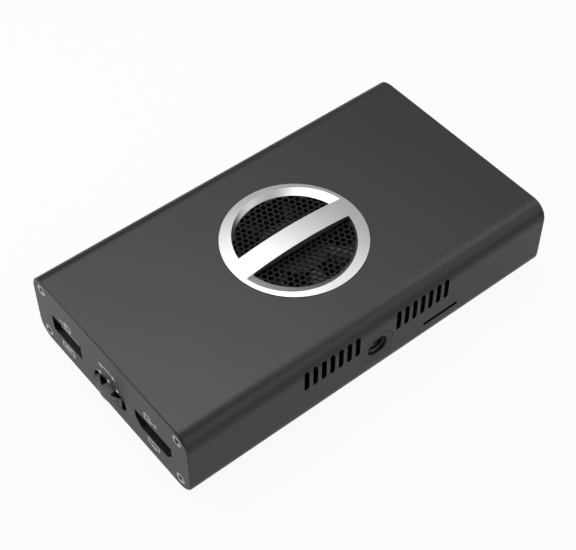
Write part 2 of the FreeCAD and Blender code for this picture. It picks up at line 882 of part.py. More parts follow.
def switch_case():
    """Open-fronted case of the switch on the board."""
    y0, y1 = lever_y - switch_width / 2, lever_y + switch_width / 2
    case = block(switch_front, switch_back, y0, y1, board_top, switch_top)
    half = carriage_width / 2 + slip_gap
    room = block(switch_front, switch_back - switch_wall, lever_y - half, lever_y + half,
                 board_top + switch_wall, switch_top - switch_wall)
    return case.cut(room)


def fan_frame():
    """Square fan frame with a round bore, corner holes, struts and the motor's cup."""
    frame = rounded_block(fan_size, fan_size, fan_corner, (0, 0), "Z", fan_bottom, fan_top)
    frame = frame.cut(upright(fan_bore_radius, 0, 0, fan_bottom, fan_top))
    parts = [frame, upright(fan_cup_radius, 0, 0, fan_bottom, cup_top)]
    for i in range(fan_struts):
        strut = block(0, fan_bore_radius + strut_bite, -fan_strut_width / 2, fan_strut_width / 2,
                      fan_bottom, cup_top)
        strut.rotate(point(0, 0, 0), point(0, 0, 1), 360 / fan_struts * (i + 0.5))
        parts.append(strut)
    frame = joined(parts)
    frame = frame.cut(upright(bearing_radius, 0, 0, shaft_bottom - bearing_floor, cup_top))
    for x, y in fan_screw_places():
        frame = frame.cut(upright(fan_screw_radius + fit_gap, x, y, fan_bottom, fan_top))
        frame = frame.cut(upright(fan_screw_head_radius + fit_gap, x, y,
                                  fan_top - fan_screw_head_height - fit_gap, fan_top))
    return frame


def fan_screw_places():
    return [(sx * fan_hole_pitch / 2, sy * fan_hole_pitch / 2) for sx in (-1, 1) for sy in (-1, 1)]


def fan_screws():
    """Screws from the fan's corners into the posts of the heat sink."""
    head_z = fan_top - fan_screw_head_height - fit_gap
    return together(upright(fan_screw_head_radius, x, y, head_z, head_z + fan_screw_head_height)
                    .fuse(upright(fan_screw_radius, x, y, sink_top, head_z))
                    for x, y in fan_screw_places())


def blade_section(radius, pitch):
    """Thin bowed section of a blade, standing across the radius."""
    angle = math.radians(pitch)
    length = blade_height / math.sin(angle)
    middle_z = (hub_top + hub_bottom) / 2

    def place(along, off):
        y = along * math.cos(angle) - off * math.sin(angle)
        z = along * math.sin(angle) + off * math.cos(angle)
        return point(radius, y, middle_z + z)
    a, t, e = length / 2, blade_thickness / 2, blade_edge / 2
    upper = Part.Arc(place(-a, e), place(0, blade_bow + t), place(a, e)).toShape()
    lower = Part.Arc(place(a, -e), place(0, blade_bow - t), place(-a, -e)).toShape()
    ends = [Part.makeLine(place(a, e), place(a, -e)), Part.makeLine(place(-a, -e), place(-a, e))]
    return Part.Wire([upper, ends[0], lower, ends[1]])


def fan_rotor():
    """Hub cup with its ring of twisted blades."""
    hub = upright(hub_radius, 0, 0, hub_bottom, hub_top)
    hub = hub.cut(upright(hub_radius - hub_wall, 0, 0, hub_bottom, hub_top - hub_wall))
    tip = fan_bore_radius - blade_tip_gap
    half_chord = blade_height / math.tan(math.radians(blade_tip_pitch)) / 2
    blade = Part.makeLoft([blade_section(hub_radius - hub_wall + blade_root_bite, blade_root_pitch),
                           blade_section(math.sqrt(tip ** 2 - half_chord ** 2), blade_tip_pitch)],
                          True, True)
    blades = []
    for i in range(blade_count):
        copy = blade.copy()
        copy.rotate(point(0, 0, 0), point(0, 0, 1), 360 / blade_count * i)
        blades.append(copy)
    rotor = joined([hub] + blades)
    return rotor.cut(upright(shaft_radius, 0, 0, hub_bottom, shaft_top))


def fan_shaft():
    return upright(shaft_radius, 0, 0, shaft_bottom, shaft_top)


def fan_magnet():
    """Magnet ring inside the hub."""
    outer = hub_radius - hub_wall
    ring = upright(outer, 0, 0, hub_bottom, motor_top)
    return ring.cut(upright(outer - magnet_thickness, 0, 0, hub_bottom, motor_top))


def fan_bearing():
    """Bearing tube that stands in the motor's cup."""
    tube = upright(bearing_radius, 0, 0, shaft_bottom - bearing_floor, motor_top)
    return tube.cut(upright(shaft_radius + shaft_clearance, 0, 0, shaft_bottom - shaft_clearance,
                            motor_top))


def fan_coils():
    """Wound core with four arms round the bearing tube."""
    z0 = cup_top
    z1 = cup_top + coil_height
    arms = [block(-coil_radius, coil_radius, -coil_arm_width / 2, coil_arm_width / 2, z0, z1)]
    arms.append(block(-coil_arm_width / 2, coil_arm_width / 2, -coil_radius, coil_radius, z0, z1))
    arms.append(upright(bearing_radius + coil_collar, 0, 0, z0, z1))
    return joined(arms).cut(upright(bearing_radius, 0, 0, z0, z1))


def fan_gasket():
    """Foam frame between the fan and the ceiling of the housing."""
    outer = rounded_block(fan_size, fan_size, fan_corner, (0, 0), "Z", fan_top, ceiling)
    return outer.cut(upright(fan_size / 2 - gasket_width, 0, 0, fan_top, ceiling))


def heat_sink():
    """Finned heat sink with four posts that carry the fan."""
    half = sink_size / 2
    parts = [block(-half, half, -half, half, sink_bottom, sink_top)]
    step = (sink_size - 2 * sink_post_size - 2 * sink_fin_clear) / (sink_fin_count - 1)
    for i in range(sink_fin_count):
        y = (i - (sink_fin_count - 1) / 2) * step
        parts.append(block(-half, half, y - sink_fin_thickness / 2, y + sink_fin_thickness / 2,
                           sink_top - sink_bite, sink_top + sink_fin_height))
    for sx in (-1, 1):
        for sy in (-1, 1):
            xs = sorted((sx * half, sx * (half - sink_post_size)))
            ys = sorted((sy * half, sy * (half - sink_post_size)))
            parts.append(block(xs[0], xs[1], ys[0], ys[1], sink_top - sink_bite,
                               fan_bottom))
    sink = joined(parts)
    for x, y in fan_screw_places():
        sink = sink.cut(upright(fan_screw_radius, x, y, sink_top, fan_bottom))
    for x, y in sink_pin_places():
        sink = sink.cut(upright(sink_pin_radius + fit_gap, x, y, sink_bottom, fan_bottom))
        sink = sink.cut(upright(sink_pin_head_radius + fit_gap, x, y, sink_top, fan_bottom))
    return sink


def sink_pin_places():
    """Places on both sides of the chip where the sink is pinned to the board."""
    return [(-sink_pin_x, 0), (sink_pin_x, 0)]


def sink_pins():
    """Push pins that hold the heat sink down to the board."""
    return together(upright(sink_pin_radius, x, y, board_bottom - sink_pin_below, sink_top)
                    .fuse(upright(sink_pin_head_radius, x, y, sink_top,
                                  sink_top + sink_pin_head_height))
                    for x, y in sink_pin_places())


def processor():
    half = chip_size / 2
    return block(-half, half, -half, half, board_top, chip_top)


def thermal_pad():
    half = chip_size / 2 - pad_inset
    return block(-half, half, -half, half, chip_top, sink_bottom)


def memory_chips():
    """Two memory chips between the heat sink and the front sockets."""
    x = -sink_size / 2 - memory_gap - memory_width
    return together(block(x, x + memory_width, y - memory_length / 2, y + memory_length / 2,
                          board_top, board_top + memory_height) for y in memory_places)


def network_transformer():
    """Transformer beside the network socket."""
    x0 = network_front - network_length
    y0 = network_y + network_width / 2 + transformer_gap
    return block(x0, x0 + transformer_length, y0, y0 + transformer_width, board_top,
                 board_top + transformer_height)


def power_coils():
    """Two power inductors behind the power socket."""
    x0 = sink_size / 2 + coil_block_clear + coil_block_size / 2
    return together(rounded_block(coil_block_size, coil_block_size, coil_block_corner,
                                  (x, half_width - coil_block_from_side), "Z", board_top,
                                  board_top + coil_block_height)
                    for x in (x0, x0 + coil_block_size + coil_block_gap))


def power_capacitors():
    """Three round capacitors beside the inductors."""
    step = 2 * capacitor_radius + capacitor_gap
    x0 = sink_size / 2 + capacitor_clear + capacitor_radius
    y = half_width - capacitor_from_side
    return together(upright(capacitor_radius, x0 + i * step, y, board_top,
                            board_top + capacitor_height) for i in range(3))


def board_crystal():
    x = -sink_size / 2 - memory_gap - memory_width - crystal_gap - crystal_length / 2
    return rounded_block(crystal_length, crystal_width, crystal_corner, (x, crystal_y), "Z",
                         board_top, board_top + crystal_height)


def fan_lead():
    """Flat lead of the fan: out of the frame, over a bend and down into its plug."""
    z = fan_bottom + fan_base / 2
    t = lead_thickness / 2
    end = header_top + plug_block_height
    turn = lead_plug_x - lead_bend
    low = z - lead_bend
    slant = math.sin(math.pi / 4)

    def bend(radius):
        ends = [point(turn, 0, low + radius), point(turn + radius * slant, 0, low + radius * slant),
                point(turn + radius, 0, low)]
        return ends

    upper, lower = bend(lead_bend + t), bend(lead_bend - t)
    start = [point(fan_size / 2, 0, z + t), point(fan_size / 2, 0, z - t)]
    stop = [point(lead_plug_x + t, 0, end), point(lead_plug_x - t, 0, end)]
    edges = [Part.makeLine(start[0], upper[0]), Part.Arc(*upper).toShape(),
             Part.makeLine(upper[2], stop[0]), Part.makeLine(stop[0], stop[1]),
             Part.makeLine(stop[1], lower[2]), Part.Arc(*lower[::-1]).toShape(),
             Part.makeLine(lower[0], start[1]), Part.makeLine(start[1], start[0])]
    strip = Part.Face(Part.Wire(edges))
    strip.translate(point(0, lead_y - lead_width / 2, 0))
    return strip.extrude(point(0, lead_width, 0))


def fan_plug():
    a, b = plug_block_length / 2, plug_block_width / 2
    return block(lead_plug_x - a, lead_plug_x + a, lead_y - b, lead_y + b, header_top,
                 header_top + plug_block_height)


def fan_header():
    a, b = plug_block_length / 2 + header_rim, plug_block_width / 2 + header_rim
    return block(lead_plug_x - a, lead_plug_x + a, lead_y - b, lead_y + b, board_top, header_top)


PIECES = {
    "housing_sleeve": housing_sleeve,
    "front_panel": front_panel,
    "rear_panel": rear_panel,
    "front_panel_screws": lambda: panel_screws(-1),
    "rear_panel_screws": lambda: panel_screws(1),
    "trim_ring": trim_ring,
    "grille_mesh": grille_mesh,
    "tripod_bush": tripod_bush,
    "main_board": main_board,
    "host_socket_shell": host_socket_shell,
    "host_socket_tongue": host_socket_tongue,
    "host_socket_contacts": host_socket_contacts,
    "video_socket_shell": video_socket_shell,
    "video_socket_tongue": video_socket_tongue,
    "network_socket_body": network_socket_body,
    "network_socket_lights": network_socket_lights,
    "network_socket_contacts": network_socket_contacts,
    "power_socket_shell": power_socket_shell,
    "power_socket_tongue": power_socket_tongue,
    "card_socket": card_socket,
    "light_pipes": light_pipes,
    "light_sources": light_sources,
    "switch_case": switch_case,
    "switch_carriage": switch_carriage,
    "switch_lever": switch_lever,
    "fan_frame": fan_frame,
    "fan_screws": fan_screws,
    "fan_rotor": fan_rotor,
    "fan_shaft": fan_shaft,
    "fan_magnet": fan_magnet,
    "fan_bearing": fan_bearing,
    "fan_coils": fan_coils,
    "fan_gasket": fan_gasket,
    "heat_sink": heat_sink,
    "sink_pins": sink_pins,
    "processor": processor,
    "thermal_pad": thermal_pad,
    "memory_chips": memory_chips,
    "network_transformer": network_transformer,
    "power_coils": power_coils,
    "power_capacitors": power_capacitors,
    "board_crystal": board_crystal,
    "fan_lead": fan_lead,
    "fan_plug": fan_plug,
    "fan_header": fan_header,
}

os.makedirs("parts", exist_ok=True)
for name, build in PIECES.items():
    shape = build()
    if not shape.isValid():
        raise ValueError(name + " is not a valid solid")
    shape.exportStep("parts/" + name + ".step")
    print(name, len(shape.Solids), round(shape.Volume, 2))
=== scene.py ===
import math
import random

import bmesh
import bpy
from mathutils import Matrix, Vector


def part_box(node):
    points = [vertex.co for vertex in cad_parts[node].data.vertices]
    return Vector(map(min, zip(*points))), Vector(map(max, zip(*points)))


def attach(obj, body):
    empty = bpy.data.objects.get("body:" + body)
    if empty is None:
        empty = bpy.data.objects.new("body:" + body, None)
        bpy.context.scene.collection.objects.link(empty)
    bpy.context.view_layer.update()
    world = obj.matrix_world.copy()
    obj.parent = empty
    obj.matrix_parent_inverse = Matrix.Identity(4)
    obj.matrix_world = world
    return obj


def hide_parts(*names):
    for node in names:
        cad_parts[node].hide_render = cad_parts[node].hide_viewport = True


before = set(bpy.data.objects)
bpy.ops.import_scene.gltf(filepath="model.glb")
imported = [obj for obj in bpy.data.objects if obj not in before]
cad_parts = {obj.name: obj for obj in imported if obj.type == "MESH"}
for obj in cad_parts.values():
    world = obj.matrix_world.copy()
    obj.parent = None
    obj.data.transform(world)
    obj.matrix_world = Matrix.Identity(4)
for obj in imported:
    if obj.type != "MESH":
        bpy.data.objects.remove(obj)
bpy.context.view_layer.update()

bl_info = {
    "name": "Network Decoder Looks",
    "version": (1, 0, 0),
    "blender": (4, 5, 0),
    "location": "3D View > Sidebar > Decoder",
    "description": "Finishes, screws, threads, printed marks and studio of a small network decoder",
    "category": "Object",
}

MM = 0.001
# Points round a turned piece
AROUND = 36


def srgb(colour):
    """Linear RGB of an sRGB hex colour such as 0x4B4C4E."""
    parts = [(colour >> shift & 255) / 255 for shift in (16, 8, 0)]
    return [c / 12.92 if c <= 0.04045 else ((c + 0.055) / 1.055) ** 2.4 for c in parts]


# Settings


class FinishSettings(bpy.types.PropertyGroup):
    housing: bpy.props.FloatVectorProperty(
        name="Housing", description="Dye of the anodised housing", subtype="COLOR",
        min=0, max=1, default=srgb(0x404040))
    housing_gloss: bpy.props.FloatProperty(
        name="Housing roughness", description="Roughness of the blasted and anodised housing",
        subtype="FACTOR", min=0, max=1, default=0.43)
    blast: bpy.props.FloatProperty(
        name="Blasting grit", description="Width of the dimples that bead blasting leaves",
        subtype="DISTANCE", min=0, default=0.25 * MM)
    trim: bpy.props.FloatVectorProperty(
        name="Trim", description="Bare metal of the ring round the grille", subtype="COLOR",
        min=0, max=1, default=srgb(0xC0C0C0))
    trim_gloss: bpy.props.FloatProperty(
        name="Trim roughness", description="Roughness of the ring round the grille",
        subtype="FACTOR", min=0, max=1, default=0.35)
    lever: bpy.props.FloatVectorProperty(
        name="Lever", description="Plastic of the lever switch", subtype="COLOR",
        min=0, max=1, default=srgb(0x626262))
    ink: bpy.props.FloatVectorProperty(
        name="Ink", description="Printing ink of the marks", subtype="COLOR",
        min=0, max=1, default=srgb(0xE4E4E4))


class ScrewSettings(bpy.types.PropertyGroup):
    head_radius: bpy.props.FloatProperty(
        name="Head radius", description="Radius of a panel screw's head", subtype="DISTANCE",
        default=1.7 * MM)
    head_depth: bpy.props.FloatProperty(
        name="Head depth", description="Depth of the countersunk head", subtype="DISTANCE",
        default=0.8 * MM)
    shank_radius: bpy.props.FloatProperty(
        name="Shank radius", description="Outer radius of the screw's thread",
        subtype="DISTANCE", default=1.0 * MM)
    length: bpy.props.FloatProperty(
        name="Length", description="Length of the screw with its head", subtype="DISTANCE",
        default=9.0 * MM)
    pitch: bpy.props.FloatProperty(
        name="Thread pitch", description="Pitch of the screw's thread", subtype="DISTANCE",
        default=0.4 * MM)
    thread_depth: bpy.props.FloatProperty(
        name="Thread depth", description="Depth of the screw's thread", subtype="DISTANCE",
        default=0.24 * MM)
    recess: bpy.props.FloatProperty(
        name="Recess", description="Width across the flats of the hexagonal recess",
        subtype="DISTANCE", default=1.7 * MM)
    recess_depth: bpy.props.FloatProperty(
        name="Recess depth", description="Depth of the hexagonal recess", subtype="DISTANCE",
        default=1.1 * MM)


class BushSettings(bpy.types.PropertyGroup):
    thread_radius: bpy.props.FloatProperty(
        name="Thread radius", description="Outer radius of the tripod thread",
        subtype="DISTANCE", default=3.17 * MM)
    thread_height: bpy.props.FloatProperty(
        name="Thread height", description="How far the thread's ridges stand into the bore",
        subtype="DISTANCE", default=0.55 * MM)
    pitch: bpy.props.FloatProperty(
        name="Thread pitch", description="Pitch of the tripod thread, 20 to the inch",
        subtype="DISTANCE", default=1.27 * MM)
    depth: bpy.props.FloatProperty(
        name="Bore depth", description="Depth of the threaded bore", subtype="DISTANCE",
        default=6.0 * MM)


class MarkSettings(bpy.types.PropertyGroup):
    stroke: bpy.props.FloatProperty(
        name="Stroke", description="Width of a printed line", subtype="DISTANCE",
        default=0.4 * MM)
    thickness: bpy.props.FloatProperty(
        name="Ink thickness", description="Thickness of the printed ink", subtype="DISTANCE",
        default=0.02 * MM)


class LipSettings(bpy.types.PropertyGroup):
    start: bpy.props.FloatProperty(
        name="Start", description="From the socket's end to the lip", subtype="DISTANCE",
        default=0.3 * MM)
    length: bpy.props.FloatProperty(
        name="Length", description="Length of the lip along the socket's upper edge",
        subtype="DISTANCE", default=8.3 * MM)
    setback: bpy.props.FloatProperty(
        name="Setback", description="How far the lip ends behind the panel's face",
        subtype="DISTANCE", default=0.01 * MM)
    thickness: bpy.props.FloatProperty(
        name="Thickness", description="Thickness of the lip's sheet", subtype="DISTANCE",
        default=0.3 * MM)
    rounding: bpy.props.FloatProperty(
        name="Rounding", description="Radius of the lip's front edges", subtype="DISTANCE",
        default=0.04 * MM)


class GasketSettings(bpy.types.PropertyGroup):
    border: bpy.props.FloatProperty(
        name="Border", description="Narrowest width of the foam frame", subtype="DISTANCE",
        default=0.8 * MM)
    corner: bpy.props.FloatProperty(
        name="Corner", description="Radius of the foam frame's outer corners",
        subtype="DISTANCE", default=3.0 * MM)


class PartSettings(bpy.types.PropertyGroup):
    count: bpy.props.IntProperty(
        name="Count", description="How many small parts the board carries", min=0, default=140)
    length: bpy.props.FloatProperty(
        name="Length", description="Length of the common small part", subtype="DISTANCE",
        default=1.6 * MM)
    grid: bpy.props.FloatProperty(
        name="Grid", description="Grid that the small parts are placed on",
        subtype="DISTANCE", default=0.5 * MM)
    margin: bpy.props.FloatProperty(
        name="Margin", description="Bare strip along the board's long edges, in the rails",
        subtype="DISTANCE", default=3.0 * MM)
    seed: bpy.props.IntProperty(
        name="Seed", description="Start of the random placing", default=7)


class StageSettings(bpy.types.PropertyGroup):
    camera_place: bpy.props.FloatVectorProperty(
        name="Camera place", description="Where the camera stands", subtype="TRANSLATION",
        unit="LENGTH", precision=5, default=(-0.14653, -0.17819, 0.28198))
    lens: bpy.props.FloatProperty(
        name="Lens", description="Focal length of the camera in millimetres", min=1,
        default=84.15)
    sensor: bpy.props.FloatProperty(
        name="Sensor", description="Width of the camera's sensor in millimetres", min=1,
        default=36.0)
    white: bpy.props.FloatProperty(
        name="White", description="Share of the floor that the camera sees as plain white",
        subtype="FACTOR", min=0, max=1, default=0.93)
    mirrored: bpy.props.FloatProperty(
        name="Mirrored white", description="Share of that white which shows in metal and gloss",
        subtype="FACTOR", min=0, max=1, default=0.65)
    surround: bpy.props.FloatProperty(
        name="Surround", description="Level of the pale surround overhead", min=0, default=0.15)
    lamps: bpy.props.FloatProperty(
        name="Lamps", description="Factor on the power of every lamp", min=0, default=1.0)


# The camera's own right and back directions, fitted to the photograph's straight edges
CAMERA_RIGHT = Vector((0.777061, -0.629425, 0.000293))
CAMERA_BACK = Vector((-0.406145, -0.501053, 0.764194))

# Soft square lamps that point at the middle of the object: place and width in metres, and
# power in watts
LAMPS = {
    "lamp_side": ((0.0, -0.433, 0.25), 0.35, 0.45),
    "lamp_near_right": ((0.306, -0.306, 0.25), 0.35, 0.399),
    "lamp_far_right": ((0.306, 0.306, 0.25), 0.35, 0.19),
    "lamp_far_front": ((-0.12, 0.15, 0.2), 0.15, 0.319),
    "lamp_over": ((0.0, 0.05, 0.3), 0.15, 0.241),
    "lamp_far_over": ((0.09, 0.34, 0.46), 0.25, 0.402),
    "lamp_right_over": ((0.15, 0.1, 0.3), 0.15, 0.076),
    "lamp_right": ((0.2, -0.05, 0.3), 0.15, 0.201),
    "lamp_left": ((-0.383, 0.25, 0.203), 0.35, 0.3),
    "lamp_low_left": ((-0.4, 0.27, 0.135), 0.15, 0.12),
}

SETTINGS = {
    "decoder_finish": FinishSettings,
    "decoder_screws": ScrewSettings,
    "decoder_bush": BushSettings,
    "decoder_lip": LipSettings,
    "decoder_gasket": GasketSettings,
    "decoder_parts": PartSettings,
    "decoder_marks": MarkSettings,
    "decoder_stage": StageSettings,
}


# Materials


def add_node(tree, kind, inputs=None, **settings):
    """Add a node with its properties; inputs maps sockets to values or to sockets to link."""
    node = tree.nodes.new(kind)
    for key, value in settings.items():
        setattr(node, key, value)
    for key, value in (inputs or {}).items():
        if isinstance(value, bpy.types.NodeSocket):
            tree.links.new(value, node.inputs[key])
        else:
            node.inputs[key].default_value = value
    return node


def start_material(name, roughness, metallic=0.0, **sockets):
    """New material with its shader; sockets holds plain values of the shader's own sockets."""
    material = bpy.data.materials.new(name)
    material.use_nodes = True
    tree = material.node_tree
    shader = tree.nodes["Principled BSDF"]
    shader.inputs["Roughness"].default_value = roughness
    shader.inputs["Metallic"].default_value = metallic
    for key, value in sockets.items():
        shader.inputs[key.replace("_", " ")].default_value = value
    return material, tree, shader


def two_tone(tree, shader, share, colour, second, height, relief):
    """Link a colour that goes from the first to the second, in linear RGB, as share goes from
    0 to 1, and a relief that follows height."""
    mix = add_node(tree, "ShaderNodeMix", {0: share, 6: (*colour, 1), 7: (*second, 1)},
                   data_type="RGBA")
    bump = add_node(tree, "ShaderNodeBump", {"Height": height, "Distance": relief})
    tree.links.new(mix.outputs[2], shader.inputs["Base Color"])
    tree.links.new(bump.outputs[0], shader.inputs["Normal"])


def grained(name, colour, second, roughness, metallic=0.0, grain=0.3 * MM, relief=0.005 * MM,
            patch=8 * MM, spread=0.05, **sockets):
    """Material that drifts between two colours over patches, with a fine grain in its gloss
    and in its relief. Colours are linear RGB."""
    material, tree, shader = start_material(name, roughness, metallic, **sockets)
    place = add_node(tree, "ShaderNodeTexCoord").outputs["Object"]
    broad = add_node(tree, "ShaderNodeTexNoise",
                     {"Vector": place, "Scale": 1 / patch, "Detail": 3.0})
    fine = add_node(tree, "ShaderNodeTexNoise",
                    {"Vector": place, "Scale": 1 / grain, "Detail": 2.0})
    gloss = add_node(tree, "ShaderNodeMapRange",
                     {0: fine.outputs[0], 3: roughness - spread, 4: roughness + spread})
    tree.links.new(gloss.outputs[0], shader.inputs["Roughness"])
    two_tone(tree, shader, broad.outputs[0], colour, second, fine.outputs[0], relief)
    return material


def shade(colour, factor):
    """Linear RGB made darker or paler by a factor."""
    return [min(1.0, c * factor) for c in colour]


def anodised_aluminium():
    """Aluminium, bead blasted and anodised dark grey: an even satin that shows soft broad
    reflections. Its dimples are drawn coarser than real ones, so that they show as a faint
    tooth."""
    s = bpy.context.scene.decoder_finish
    return grained("aluminium_blasted_anodised", shade(s.housing, 0.98), shade(s.housing, 1.03),
                   s.housing_gloss, 1.0, grain=s.blast, relief=0.003 * MM, patch=14 * MM,
                   spread=0.03)


def clear_aluminium():
    """Aluminium, fine blasted and clear anodised: pale metal that keeps its own brightness and
    only smears the reflections of the lamps into broad soft patches."""
    s = bpy.context.scene.decoder_finish
    return grained("aluminium_blasted_clear", shade(s.trim, 0.98), shade(s.trim, 1.02),
                   s.trim_gloss, 1.0, grain=s.blast, relief=0.001 * MM, patch=9 * MM, spread=0.02)


def wound_copper():
    """Enamelled copper wire, wound: close parallel turns with a warm varnish gloss.
    Each turn carries painted shade: darker in the grooves between turns, paler on the crests.
    """
    # the wire's diameter
    wire = 0.1885 * MM
    material, tree, shader = start_material("copper_enamelled_wound", 0.35, 1.0)
    place = add_node(tree, "ShaderNodeTexCoord").outputs["Object"]
    # at a scale of 1, the bands of this texture lie pi / 10 apart
    turns = add_node(tree, "ShaderNodeTexWave", {"Vector": place, "Scale": math.pi / 10 / wire},
                     bands_direction="Z").outputs[1]
    # painted shade: the colour follows the turns' relief, darker in the grooves between turns and
    # paler on their crests
    two_tone(tree, shader, turns, srgb(0x7A3A1C), srgb(0xC9743F), turns, 0.1 * MM)
    return material


def ribbon_vinyl():
    """Vinyl ribbon of four wires, extruded: a rounded ridge over each wire, each in its own
    colour."""
    material, tree, shader = start_material("vinyl_ribbon_extruded", 0.45)
    place = add_node(tree, "ShaderNodeTexCoord").outputs["Object"]
    split = add_node(tree, "ShaderNodeSeparateXYZ", {0: place})
    low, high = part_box("fan_lead")
    across = add_node(tree, "ShaderNodeMapRange", {0: split.outputs[1], 1: low.y, 2: high.y})
    ramp = add_node(tree, "ShaderNodeValToRGB", {0: across.outputs[0]})
    ramp.color_ramp.interpolation = "CONSTANT"
    wires = (0x1B1B1C, 0xA32A22, 0xB89A2A, 0x2A5590)
    for i, colour in enumerate(wires):
        stops = ramp.color_ramp.elements
        stop = stops[i] if i < len(stops) else stops.new(i / len(wires))
        stop.position = i / len(wires)
        stop.color = (*srgb(colour), 1)
    turns = add_node(tree, "ShaderNodeMath", {0: across.outputs[0], 1: len(wires) * math.pi},
                     operation="MULTIPLY")
    ridge = add_node(tree, "ShaderNodeMath", {0: turns.outputs[0]}, operation="SINE")
    crown = add_node(tree, "ShaderNodeMath", {0: ridge.outputs[0]}, operation="ABSOLUTE")
    bump = add_node(tree, "ShaderNodeBump", {"Height": crown.outputs[0], "Distance": 0.3 * MM})
    tree.links.new(ramp.outputs[0], shader.inputs["Base Color"])
    tree.links.new(bump.outputs[0], shader.inputs["Normal"])
    return material


def masked_board():
    """Glass epoxy with copper tracks under a dark solder mask: tracks show as paler lines that
    stand a little proud."""
    # round pads: how far apart they lie, and their radius as a share of that
    apart, reach = 2.6 * MM, 0.12
    material, tree, shader = start_material("glass_epoxy_solder_mask", 0.35)
    place = add_node(tree, "ShaderNodeTexCoord").outputs["Object"]
    tracks = add_node(tree, "ShaderNodeTexBrick",
                      {"Vector": place, "Color1": (0, 0, 0, 1), "Color2": (0.2, 0.2, 0.2, 1),
                       "Mortar": (1, 1, 1, 1), "Scale": 1.0, "Mortar Size": 0.15 * MM,
                       "Brick Width": 5.2 * MM, "Row Height": 1.1 * MM})
    spots = add_node(tree, "ShaderNodeTexVoronoi", {"Vector": place, "Scale": 1 / apart})
    pads = add_node(tree, "ShaderNodeMath", {0: spots.outputs[0], 1: reach},
                    operation="LESS_THAN")
    raised = add_node(tree, "ShaderNodeMath", {0: tracks.outputs[0], 1: pads.outputs[0]},
                      operation="MAXIMUM").outputs[0]
    two_tone(tree, shader, raised, srgb(0x12241B), srgb(0x2C4A38), raised, 0.03 * MM)
    return material


def extruded_aluminium():
    """Bare aluminium, extruded: die lines along the fins, which lie along X."""
    # width of a die line, and how many times as long it is
    width, stretch = 0.3 * MM, 50
    material, tree, shader = start_material("aluminium_extruded", 0.4, 1.0)
    place = add_node(tree, "ShaderNodeTexCoord").outputs["Object"]
    along = add_node(tree, "ShaderNodeVectorMath", {0: place, 1: (1 / stretch, 1, 1)},
                     operation="MULTIPLY")
    lines = add_node(tree, "ShaderNodeTexNoise",
                     {"Vector": along.outputs[0], "Scale": 1 / width, "Detail": 3.0}).outputs[0]
    two_tone(tree, shader, lines, srgb(0x8C8E90), srgb(0xB4B6B8), lines, 0.01 * MM)
    return material


